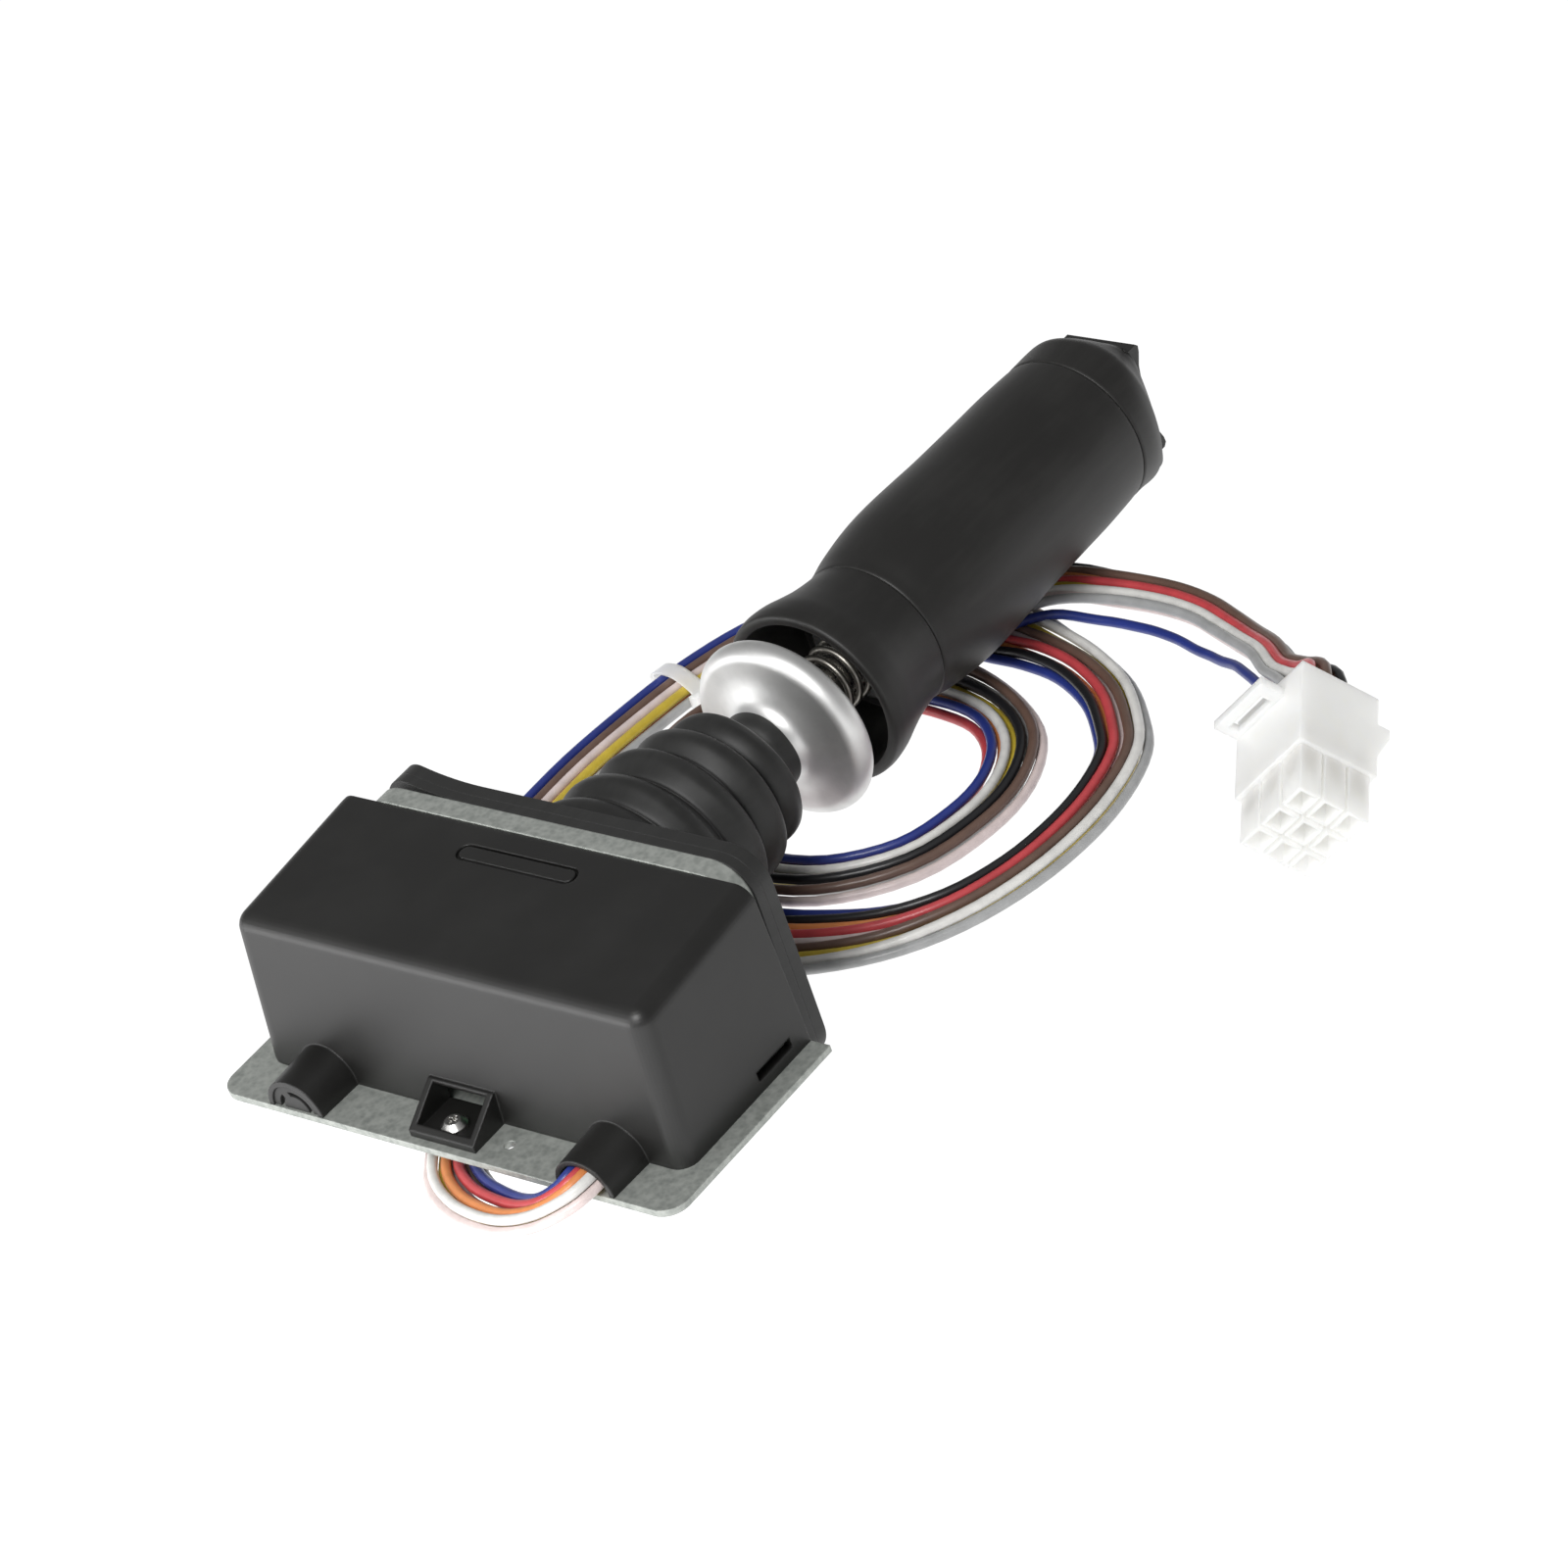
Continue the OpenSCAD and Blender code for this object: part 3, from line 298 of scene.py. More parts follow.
metals = {
    "zinc_plate": galvanised("zinc_plate", (0.46, 0.48, 0.45), (0.29, 0.31, 0.29)),
    "steel_plate": plated("steel_plate", (0.60, 0.61, 0.60), 0.28),
    "polished_alloy": turned("polished_alloy", (0.82, 0.82, 0.81), 0.42),
    "bright_steel": plated("bright_steel", (0.72, 0.71, 0.69), 0.20),
    "spring_steel": plated("spring_steel", (0.42, 0.40, 0.36), 0.32),
    "bronze": plated("bronze", (0.55, 0.38, 0.20), 0.38),
    "tin_brass": plated("tin_brass", (0.72, 0.60, 0.36), 0.24),
}
print("metals", sorted(metals))

# %% [markdown]
# ## Plastics and rubber
#
# The cover is moulded with a fine spark-eroded grain that turns its highlights soft and
# grey. The grip and the bellows are rubber: almost black, with a low sheen, a coarser
# grain and slightly dusty high spots. Grain could be cut into the mesh, but it is far
# finer than a face, so a bump of a hundredth of a millimetre or two does it. The connector
# and the tie are milky nylon. Scattering alone leaves them grey, so a faint glow stands
# in for the light that passes through them.

# %% Plastic and rubber finishes
def moulded(name, colour, rough, grain=5200.0, depth=0.000012, ease=0.0006, dust=0.25):
    """Hard moulded plastic with eased edges and a paler bloom where dusty."""
    f = Finish(name)
    fine = f.noise(grain, 2.0)
    cloud = f.noise(55.0, 4.0)
    pale = [c * (1.0 + dust) + 0.002 for c in colour]
    return f.set(
        Base_Color=f.mix(cloud.between(0.35, 0.75), colour, pale),
        Roughness=rough + cloud * 0.08,
        Normal=f.bump(fine, depth, 0.6, f.edges(ease)),
    )


def rubber(name, colour, rough, sheen, grain=3600.0, depth=0.00002):
    """Black rubber, worn paler in clouds and in streaks along the lever."""
    f = Finish(name)
    fine = f.noise(grain, 3.0)
    cloud = f.noise(38.0, 5.0)
    streak = f.noise(1.0, 3.0, at=f.scaled(420.0, 60.0, 420.0))
    pale = [c * 1.5 + 0.004 for c in colour]
    wear = (cloud * 0.7 + streak * 0.4).between(0.45, 0.80)
    return f.set(
        Base_Color=f.mix(wear, colour, pale),
        Roughness=rough + cloud * 0.10,
        Sheen_Weight=sheen,
        Sheen_Roughness=0.5,
        Normal=f.bump(fine + streak * 0.3, depth, 0.7, f.edges(0.0004)),
    )


def nylon(name, colour):
    """Natural nylon: milky, with a painted glow for the light that passes through it, and faint flow
    lines.
    """
    f = Finish(name)
    cloud = f.noise(130.0, 3.0)
    flow = f.noise(1.0, 2.0, at=f.scaled(60.0, 420.0, 60.0))
    return f.set(
        Base_Color=f.mix(cloud.between(0.3, 0.8), colour, [c * 0.95 for c in colour]),
        Roughness=0.30 + cloud * 0.12,
        # painted glow: a faint emission, paler and darker in clouds, for the light that passes through
        # the nylon
        Emission_Color=f.mix(cloud.between(0.3, 0.8), (0.13, 0.13, 0.127), (0.11, 0.11, 0.107)),
        Emission_Strength=1.0,
        Subsurface_Weight=0.85,
        Subsurface_Radius=(1.0, 0.95, 0.85),
        Subsurface_Scale=0.010,
        Transmission_Weight=0.20,
        IOR=1.46,
        Normal=f.bump(flow, 0.00004, 0.4, f.edges(0.0005)),
    )


print("plastic, rubber and nylon ready")

# %% [markdown]
# ### The plastics by name
#
# The CAD record names what each part is made of. Colours could be set part by part, but
# one table under those names keeps the same stuff looking the same wherever it is.

# %% The plastics by name
plastics = {
    "black_shell": moulded("black_shell", (0.0090, 0.0088, 0.0082), 0.37),
    "black_rubber": rubber("black_rubber", (0.013, 0.013, 0.0125), 0.50, 0.04),
    "soft_rubber": rubber("soft_rubber", (0.0105, 0.0105, 0.010), 0.46, 0.02),
    "grip_rubber": rubber("grip_rubber", (0.0085, 0.0080, 0.0072), 0.44, 0.02),
    "acetal": moulded("acetal", (0.72, 0.70, 0.62), 0.38),
    "sensor_case": moulded("sensor_case", (0.03, 0.06, 0.055), 0.40),
    "board_green": moulded("board_green", (0.015, 0.10, 0.035), 0.30, dust=0.1),
    "chip_black": moulded("chip_black", (0.02, 0.02, 0.021), 0.45),
    "white_nylon": nylon("white_nylon", (0.90, 0.90, 0.88)),
}
finishes = {**metals, **plastics}
print("plastics", sorted(plastics))

# %% [markdown]
# ## Wires
#
# Nine insulated wires of 2.2 mm run from the right-hand outlet, back under the tray, up
# the left side through the tie, round in two loops and out to the connector. They could
# be dropped as a physics simulation, but a loop has to lie where the real one does, so
# all of them follow one route. Each route point also gives the bundle's width and
# height: the wires lie in two layers where it is narrow, and side by side where it
# passes under or over another turn.

# %% Route of the bundle
WIRE_D = 2.2
ROUTE = [  # x, y, z, width and height of the bundle, in mm
    (38.1, -50, -9, 9, 4.8), (38.1, -56.5, -9, 9, 4.8), (36, -60.3, -10.6, 9.5, 4.8),
    (30.5, -62.6, -13.6, 10.5, 4.6), (22.5, -62.3, -16.8, 12, 4.4), (13, -60, -19.4, 13, 4.2),
    (4, -56.5, -21.6, 13, 4.2), (-4.5, -51, -23.2, 13, 4.4), (-10.5, -43.5, -23.7, 13, 4.4),
    (-16.5, -35.5, -23.7, 13, 4.4), (-25, -27.5, -23.7, 13, 4.4), (-38, -20.5, -23.7, 13, 4.4),
    (-51, -12, -23.7, 13, 4.4), (-60, 0, -23.7, 13, 4.4), (-64, 14, -23.7, 13, 4.4),
    (-65, 30, -23.7, 13, 4.4), (-65, 48, -23.7, 13, 4.4), (-65, 66, -23.7, 13, 4.4),
    (-63, 84, -23.7, 13, 4.4), (-60, 100, -23.7, 13, 4.4), (-54.5, 115, -23.7, 13, 4.4),
    (-46.5, 126, -23.9, 14, 4.1), (-34.5, 133, -24.6, 18.5, 2.8), (-21, 136, -24.8, 21, 2.4),
    (-8, 135.5, -24.8, 21, 2.4), (3, 133.5, -24.8, 19, 2.4), (13.5, 131.2, -24.2, 15, 3.6),
    (25.5, 127.2, -23.7, 13, 4.4), (37.5, 120.5, -23.7, 13, 4.4), (47, 111.3, -23.7, 13, 4.4),
    (52.5, 103.5, -23.7, 13, 4.4), (55.5, 92, -23.7, 13, 4.4), (56, 79, -23.7, 13, 4.4),
    (53.5, 64, -23.7, 13, 4.4), (47, 50, -23.9, 14, 4), (36, 39.5, -24.5, 17, 3),
    (22, 32.5, -24.8, 20, 2.4), (7, 28.5, -24.8, 21, 2.4), (-9, 27.5, -24.8, 21, 2.4),
    (-24, 30.5, -24.8, 20, 2.4), (-37, 37.5, -24.4, 17, 3.2), (-44, 48.5, -23.8, 14, 4.2),
    (-46, 62, -23.7, 13, 4.4), (-46, 78, -23.8, 14, 4.2), (-43, 92, -24.4, 17, 3.2),
    (-36, 103, -24.8, 20, 2.4), (-25, 110.5, -24.8, 21, 2.4), (-11, 114, -24.8, 20, 2.4),
    (3, 113, -24.4, 17, 3.2), (17, 108.3, -23.8, 14, 4.2), (27.5, 100, -23.7, 13, 4.4),
    (33, 88, -23.7, 13, 4.4), (33, 75, -23.7, 13, 4.4), (27, 62.5, -23.7, 13, 4.4),
    (13, 53, -23.7, 13, 4.4), (-4, 49.5, -23.7, 13, 4.4), (-16, 52, -23.7, 13, 4.4),
    (-25, 61, -23.7, 13, 4.4), (-28, 73, -23.9, 14, 4), (-27, 84, -23.4, 18, 2.9),
    (-25, 94, -22.5, 20.5, 2.4), (-22, 104, -22.3, 21, 2.3), (-19, 114, -22.3, 21, 2.3),
    (-15, 124, -22.3, 21, 2.3), (-10, 134, -22.3, 21, 2.3), (-3, 143, -22.3, 20, 2.3),
    (7, 149, -22.4, 16, 2.4), (19, 150.3, -23.2, 13, 3.8), (31, 148.8, -23.5, 12, 4.6),
    (41, 145.5, -23.3, 11, 5), (50, 141, -22.7, 10.5, 5.2), (59.5, 136, -20.7, 10, 5.4),
    (70, 130, -16.8, 10, 5.6), (80, 123.5, -13.2, 10.5, 5.8), (89, 120.2, -9, 11.5, 6),
    (96, 115.9, -6.3, 12.5, 6), (99.8, 109, -7.7, 13, 6),
]
LAST = len(ROUTE) - 1.0
print("route", len(ROUTE), "points")

# %% [markdown]
# ### Wire jackets
#
# Each wire has a smooth PVC jacket in one colour. A flat colour would look painted, so
# soft clouds darken it in places and a fine texture breaks the highlight along it.

# %% Wire jackets
JACKETS = {
    "blue": (0.022, 0.040, 0.240),
    "red": (0.600, 0.070, 0.080),
    "orange": (0.760, 0.270, 0.085),
    "yellow": (0.640, 0.480, 0.050),
    "pink_white": (0.760, 0.640, 0.620),
    "black": (0.012, 0.012, 0.014),
    "brown": (0.150, 0.090, 0.068),
    "white": (0.780, 0.770, 0.740),
    "grey": (0.400, 0.405, 0.405),
}
NAMES = list(JACKETS)


def jacket(name, colour):
    """PVC insulation, smooth, with a faint drawn texture along it."""
    f = Finish("wire_" + name)
    cloud = f.noise(210.0, 3.0)
    fine = f.noise(2600.0, 2.0)
    return f.set(
        Base_Color=f.mix(cloud.between(0.3, 0.75), colour, [c * 0.82 for c in colour]),
        Roughness=0.34 + cloud * 0.12,
        Coat_Weight=0.15,
        Normal=f.bump(fine + cloud, 0.00002, 0.4),
    )


jackets = {name: jacket(name, colour) for name, colour in JACKETS.items()}
print("wire colours", NAMES)

# %% [markdown]
# ### Order of the wires
#
# The order of the wires across the bundle changes along the route, as it does in a
# loose lead. Nine routes of their own would be hard to keep apart, so each stretch
# below only lists the wires from the right of the route to its left. Between stretches
# they change places smoothly, and a wire that moves left hops over the others.

# %% Order of the wires
ORDERS = [  # first and last route point of the stretch, and the wires
    (0, 8, "black blue brown red grey orange yellow white pink_white"),
    (13, 20, "grey yellow orange pink_white red brown white blue black"),
    (23, 41, "blue black orange red pink_white brown yellow white grey"),
    (45, 57, "red blue orange white yellow black grey brown pink_white"),
    (62, 76, "blue grey pink_white white yellow red orange brown black"),
]
LAYER_GAP = 2.3
HOP = 1.9  # how far a wire that moves left passes over the others
# how far the blue wire strays to the right of its place, by route point
STRAY = {63: 0.6, 64: 1.4, 65: 2.3, 66: 3.1, 67: 3.8, 68: 4.2, 69: 4.4, 70: 4.2, 71: 3.5, 72: 2.4,
         73: 1.1}
LOOSE = {  # how far the wires lie off the route: x, y, z and the extra width
    50: (0.0, 0.0, 0.0, 1.2), 51: (0.0, 0.0, 0.0, 1.2), 52: (0.0, 0.0, 0.0, 1.2),
    53: (0.5, -2.0, 0.0, 1.5), 54: (0.5, -3.0, -0.1, 2.0), 55: (0.0, -2.3, -0.1, 2.0),
    56: (0.0, -1.2, 0.0, 1.0), 67: (1.0, 1.0, 0.0, 0.0), 68: (1.5, 2.5, 0.3, 0.0),
    69: (2.0, 3.5, 0.6, 0.0), 70: (2.2, 3.8, 1.0, 0.0), 71: (2.2, 3.4, 1.2, 0.0),
    72: (1.8, 2.6, 1.2, 0.0), 73: (1.0, 1.4, 0.8, 0.0),
}
STEPS = 4


def smooth(t):
    """0 up to t = 0 and 1 from t = 1, with an even start and end."""
    t = min(max(t, 0.0), 1.0)
    return t * t * (3.0 - 2.0 * t)


def layer_of(place):
    """Even places lie in the lower layer and odd ones in the upper."""
    return -1.0 if place % 2 == 0 else 1.0


def slot_of(name, i):
    """Place across the bundle, layer and hop of a wire at route point i."""
    for (a, b, order), after in zip(ORDERS, ORDERS[1:] + [None]):
        here = order.split().index(name)
        if i <= b or after is None:
            return here, layer_of(here), 0.0
        if i < after[0]:
            there = after[2].split().index(name)
            t = smooth((i - b) / (after[0] - b))
            low, high = layer_of(here), layer_of(there)
            hop = HOP * 4.0 * t * (1.0 - t) if there > here else 0.0
            return here + (there - here) * t, low + (high - low) * t, hop


print("stretches", [(first, last) for first, last, _ in ORDERS])

# %% [markdown]
# ### A smooth line through points
#
# Straight pieces between the route points would show as kinks. A Bezier curve object
# could round them, but each wire is offset from the route, so the points between are
# worked out here: the line passes through every route point with no corner.

# %% Smooth route
def curve_point(points, i, t):
    """Point on the smooth curve through the points, between i and i + 1."""
    last = len(points) - 1
    a, b, c, d = [points[min(max(k, 0), last)] for k in (i - 1, i, i + 1, i + 2)]
    out = []
    for p, q, r, s in zip(a, b, c, d):
        out.append(
            0.5 * (2 * q + (r - p) * t + (2 * p - 5 * q + 4 * r - s) * t * t
                   + (3 * q - p - 3 * r + s) * t ** 3)
        )
    return out


def laid_route():
    """The route with the loose bundle's own place and width at each point."""
    laid = []
    for i, (x, y, z, w, h) in enumerate(ROUTE):
        dx, dy, dz, dw = LOOSE.get(i, (0.0, 0.0, 0.0, 0.0))
        laid.append((x + dx, y + dy, z + dz, w + dw, h))
    return laid


def dense_route():
    """Rows of route position and point, STEPS of them for each route point."""
    laid = laid_route()
    rows = []
    for i in range(len(laid) - 1):
        for step in range(STEPS):
            t = step / STEPS
            rows.append((i + t, curve_point(laid, i, t)))
    rows.append((LAST, list(laid[-1])))
    return rows


rows = dense_route()
print("route points", len(rows))

# %% [markdown]
# ### Into the connector
#
# At the connector the bundle opens into three rows of three. The connector lies on one
# edge with its nose down, so its own axes come from the tilt that the CAD gives it. The
# wires could be given places by hand, but then any change of order would cross them, so
# they are sorted by where they arrive.

# %% Into the connector
CONN_AT = Vector((99.8, 109.0, -7.7))
CONN_TURN = Euler([math.radians(a) for a in (13.0, -40.0, 20.5)]).to_matrix()
ENTRY_X, ENTRY_Z, ENTRY_DEEP = 5.6, 4.4, 3.0
SPREAD_FROM = 73.0
GAPS = len(NAMES) - 1
WANDER, WANDER_TO, WANDER_FADE = 0.26, 66.0, 4.0  # mm, and the route points where it ends
WANDER_RATE, WANDER_APART = 0.7, 2.1
ARRIVING = -5  # the row, counted from the end, where a wire's side of the bundle is read
PER_ROW = 3


def wire_points(name):
    """Centre line of one wire, one point for each row of the route."""
    number = NAMES.index(name)
    made = []
    for k, (i, (x, y, z, w, h)) in enumerate(rows):
        before, after = rows[max(k - 1, 0)][1], rows[min(k + 1, len(rows) - 1)][1]
        along = (Vector(after[:3]) - Vector(before[:3])).normalized()
        side = Vector((-along.y, along.x, 0.0)).normalized()
        up = along.cross(side)
        place, layer, hop = slot_of(name, i)
        pitch = (w - WIRE_D - 0.1) / GAPS
        lift = 0.5 * math.sqrt(max(0.0, LAYER_GAP ** 2 - pitch ** 2))
        lift = min(lift, max(0.0, (h - WIRE_D) / 2.0) + 0.1)
        wave = math.sin(i * WANDER_RATE + number * WANDER_APART)
        wander = WANDER * wave * smooth((WANDER_TO - i) / WANDER_FADE)
        across = (place - GAPS / 2) * pitch + wander * min(1.0, lift)
        if name == "blue":
            low = math.floor(i)
            a, b = STRAY.get(low, 0.0), STRAY.get(low + 1, 0.0)
            across -= a + (b - a) * smooth(i - low)
        made.append(Vector((x, y, z + hop)) + side * across + up * layer * lift)
    return made


def entries(lines):
    """Which place in the connector each wire goes to, so that none of them cross."""
    back = CONN_TURN.transposed()
    near = {n: back @ (p[ARRIVING] - CONN_AT) for n, p in lines.items()}
    by_x = sorted(near, key=lambda n: near[n].x)
    spots = {}
    for column in range(PER_ROW):
        first = column * PER_ROW
        group = sorted(by_x[first: first + PER_ROW], key=lambda n: near[n].z)
        for row, n in enumerate(group):
            spots[n] = Vector(((column - 1) * ENTRY_X, 0.0, (row - 1) * ENTRY_Z))
    return spots


print("nine places, pitch", ENTRY_X, "and", ENTRY_Z)

# %% [markdown]
# ### Opening the bundle
#
# Over the last few route points each wire is drawn towards its own place, and then it
# runs straight in along the connector's axis. Moving only the end would leave a sharp
# kink, so the shift grows smoothly from nothing.

# %% Opening the bundle
lines = {name: wire_points(name) for name in NAMES}
spots = entries(lines)
for name, points in lines.items():
    end = CONN_AT + CONN_TURN @ spots[name]
    gap = end - points[-1]
    for k, (i, _) in enumerate(rows):
        t = smooth((i - SPREAD_FROM) / (LAST - SPREAD_FROM)) ** 2
        points[k] = points[k] + gap * t
    points[-1] = end
    points.append(end + CONN_TURN @ Vector((0.0, -ENTRY_DEEP, 0.0)))
print("entries", {n: tuple(round(v, 1) for v in s) for n, s in spots.items()})

# %% [markdown]
# ### Nine cords
#
# Each wire is a curve object with a round bevel. A tube mesh would do as well, but a
# curve keeps the centre line, so its length can be measured. All nine leave by the same
# outlet.

# %% Nine cords
for name, points in lines.items():
    data = bpy.data.curves.new("wire_" + name, "CURVE")
    data.dimensions = "3D"
    data.bevel_depth = WIRE_D / 2 * MM
    data.bevel_resolution = 4
    data.use_fill_caps = True
    spline = data.splines.new("POLY")
    spline.points.add(len(points) - 1)
    for spot, p in zip(spline.points, points):
        spot.co = (*(p * MM), 1.0)
    wire = bpy.data.objects.new("wire_" + name, data)
    bpy.context.scene.collection.objects.link(wire)
    data.materials.append(jackets[name])
    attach(wire, "base")
    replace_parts(wire, "harness")
    length = sum((b - a).length for a, b in zip(points, points[1:])) * MM
    print(name, "wire", round(length, 3), "m")

# %% [markdown]
# ## Making a piece
#
# Every piece below is made the same way: points and faces become a mesh with all its
# faces turned outward, and the mesh gets its finish and rides on its body. This could be
# written out each time, but one helper makes sure that no piece misses a step.

# %% Making a piece
SAME = 1e-7  # points closer than this, in metres, become one


def add_piece(name, mesh, slot, body, sharp=35.0):
    """Shade a mesh, give it its finish and let it ride on a body."""
    mesh.shade_smooth()
    mesh.set_sharp_from_angle(angle=math.radians(sharp))
    mesh.materials.append(finishes[slot])
    made = bpy.data.objects.new(name, mesh)
    bpy.context.scene.collection.objects.link(made)
    if body is not None:
        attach(made, body)
    print(name, len(mesh.vertices), "points")
    return made


def piece_from(name, verts, faces, slot, body, sharp=35.0):
    """A closed piece from points in mm and faces, with every face turned outward."""
    mesh = bpy.data.meshes.new(name)
    mesh.from_pydata([Vector(v) * MM for v in verts], [], faces)
    bm = bmesh.new()
    bm.from_mesh(mesh)
    bmesh.ops.remove_doubles(bm, verts=bm.verts, dist=SAME)
    bmesh.ops.recalc_face_normals(bm, faces=bm.faces)
    bm.to_mesh(mesh)
    bm.free()
    return add_piece(name, mesh, slot, body, sharp)


print("piece helpers ready")

# %% [markdown]
# ### Turning a profile
#
# The bellows, the collar, the grip and its cup are all round about the lever. A Screw
# modifier could spin their profiles, but a skin made here can also be slightly out of
# round. So the profile is turned point by point, and its rings are joined into a closed
# skin.

# %% Turning a profile
def flowing(profile, steps=5):
    """The same profile with a smooth curve through its points."""
    out = []
    for i in range(len(profile) - 1):
        out += [curve_point(profile, i, k / steps) for k in range(steps)]
    return out + [list(profile[-1])]


def hoop_faces(parts, n):
    """Faces between rings of n points each, the last ring joined to the first."""
    faces = []
    for j in range(parts):
        q = (j + 1) % parts
        for k in range(n):
            m = (k + 1) % n
            faces.append((j * n + k, j * n + m, q * n + m, q * n + k))
    return faces


def turned_piece(name, loop, slot, body, wobble=None, parts=128, sharp=35.0):
    """A closed profile [(r, y), ...] in mm, turned about the Y axis."""
    verts = []
    for j in range(parts):
        a = 2.0 * math.pi * j / parts
        for r, y in loop:
            dr, dy = wobble(a, r, y) if wobble else (0.0, 0.0)
            verts.append(((r + dr) * math.cos(a), y + dy, (r + dr) * math.sin(a)))
    return piece_from(name, verts, hoop_faces(parts, len(loop)), slot, body, sharp)


print("turning helpers ready")

# %% [markdown]
# ### Bellows
#
# The boot is soft rubber. Five folds shrink towards the collar, and each crest is full
# and rounded with a narrow crease beside it. An array of one fold would make them all
# alike, so each fold gives its own crest and crease. The skin is very slightly out of
# round.

# %% Bellows
# radius and place along the lever of each crest, then of the crease after it
FOLDS = [(23.2, 9.7, 20.7, 14.6), (22.2, 19.2, 18.9, 24.6), (20.6, 29.6, 16.9, 34.6),
         (18.6, 39.1, 14.7, 43.6), (16.2, 47.5, 11.2, 52.0)]
BOOT_LOW, BOOT_TOP, BOOT_FOOT, BOOT_NECK, BOOT_WALL = 5.4, 58.6, 22.6, 9.4, 1.0


def boot_profile():
    """Outside of the boot from the flange to its neck, as radius and place."""
    out = [(BOOT_FOOT, BOOT_LOW), (BOOT_FOOT + 0.1, BOOT_LOW + 1.6)]
    for crest_r, crest_y, root_r, root_y in FOLDS:
        out += [(crest_r - 0.6, crest_y - 2.2), (crest_r, crest_y - 0.6),
                (crest_r - 0.1, crest_y + 1.0), (crest_r - 0.9, crest_y + 2.6),
                (root_r, root_y - 0.9), (root_r - 0.6, root_y), (root_r, root_y + 0.5)]
    out[-3:] = [(BOOT_NECK + 2.6, FOLDS[-1][3] - 0.4), (BOOT_NECK + 1.0, FOLDS[-1][3] + 1.0)]
    return out + [(BOOT_NECK, BOOT_TOP - 3.6), (BOOT_NECK, BOOT_TOP - 0.4), (BOOT_NECK - 0.2, BOOT_TOP)]


def sag(a, r, y):
    """How far the rubber is out of round, and how far it sags along the lever."""
    out = 0.10 * math.sin(2.0 * a + y * 0.3) + 0.06 * math.sin(5.0 * a + y)
    return out, 0.12 * math.sin(3.0 * a + r)


outer = flowing(boot_profile(), 4)
inner = [(r - BOOT_WALL, y) for r, y in reversed(outer)]
bellows = turned_piece("bellows", outer + inner, "soft_rubber", None, wobble=sag, sharp=60.0)
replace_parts(bellows, "boot")
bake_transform(bellows)

# %% [markdown]
# ### Curled corner
#
# The gasket and the boot's base are soft sheets. Nothing clamps them yet, so their upper
# left corner has curled away from the flange. A Simple Deform modifier bends a whole
# piece, but here most of the sheet lies flat. So both sheets keep the CAD outline and
# holes: their faces are cut fine enough to bend, and then only the corner is lifted.

# %% Curled sheets
CURL, CURL_FROM, CURL_OVER = 3.6, 44.0, 25.0  # rise, where it starts, over what length
CURL_SLANT, CURL_MOST, CURL_BEND = 0.8, 1.1, 1.8
EDGE_MOST, CUT_ROUNDS = 0.004, 6


def curled(name, node, slot):
    """A copy of a CAD sheet with its upper left corner lifted."""
    source = nodes[node]
    bm = bmesh.new()
    bm.from_mesh(source.data)
    bm.transform(source.matrix_world)
    for _ in range(CUT_ROUNDS):
        far = [e for e in bm.edges if e.calc_length() > EDGE_MOST]
        if not far:
            break
        bmesh.ops.subdivide_edges(bm, edges=far, cuts=1)
        bmesh.ops.triangulate(bm, faces=bm.faces)
    for v in bm.verts:
        x, z = v.co.x / MM, v.co.z / MM
        reach = max(0.0, (-x + CURL_SLANT * z - CURL_FROM) / CURL_OVER)
        v.co.y += CURL * min(reach, CURL_MOST) ** CURL_BEND * MM
    mesh = bpy.data.meshes.new(name)
    bm.to_mesh(mesh)
    bm.free()
    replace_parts(add_piece(name, mesh, slot, "base"), node)


curled("gasket_sheet", "flange_gasket", "black_rubber")
curled("boot_sheet", "boot_base", "black_rubber")

# %% [markdown]
# ### Collar
#
# The collar is turned from aluminium and polished: a slim neck inside the bellows, a
# flaring hub and a rolled rim. The flare could be a bevel on a stack of cylinders, but
# its highlight follows every change of slope, so the whole profile is one smooth curve
# with a true arc for the rim.

# %% Collar
COLLAR_R, RIM_R, RIM_Y, NECK_R = 21.0, 3.2, 66.4, 8.4
BORE = 5.06


def arc(cx, cy, r, a0, a1, n):
    """Points on an arc from angle a0 to a1, in degrees."""
    return [(cx + r * math.cos(math.radians(a0 + (a1 - a0) * k / n)),
             cy + r * math.sin(math.radians(a0 + (a1 - a0) * k / n))) for k in range(n + 1)]


hub = flowing([(NECK_R, 57.0), (NECK_R + 0.1, 58.8), (NECK_R + 1.2, 60.7), (NECK_R + 3.6, 62.0),
               (14.6, 62.8), (COLLAR_R - RIM_R, RIM_Y - RIM_R)], 5)
rim = arc(COLLAR_R - RIM_R, RIM_Y, RIM_R, -90.0, 90.0, 20)
back = [(16.2, 69.45), (9.2, 69.3), (8.2, 69.0), (8.0, 67.6), (BORE, 67.6)]
neck = [(BORE, 47.6), (NECK_R - 1.0, 47.6), (NECK_R, 48.6)]
collar = turned_piece("collar_skin", neck + hub[:-1] + rim + back, "polished_alloy", "collar",
                      parts=160)
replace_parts(collar, "collar")

# %% [markdown]
# ### Collar spring
#
# A coil spring behind the collar, seated in the cup, pushes it down. A Screw modifier
# gives an even helix, but a real spring has closed ends, where the last turn lies
# nearly flat. So the wire is swept here, with a slower rise over the first and the last
# turn.

# %% Collar spring
SPRING_LOW, SPRING_TOP, SPRING_TURNS = 67.6, 92.6, 8.0
SPRING_R, SPRING_WIRE = 6.6, 0.8
END_RISE = 0.075  # share of the height that each closed end takes


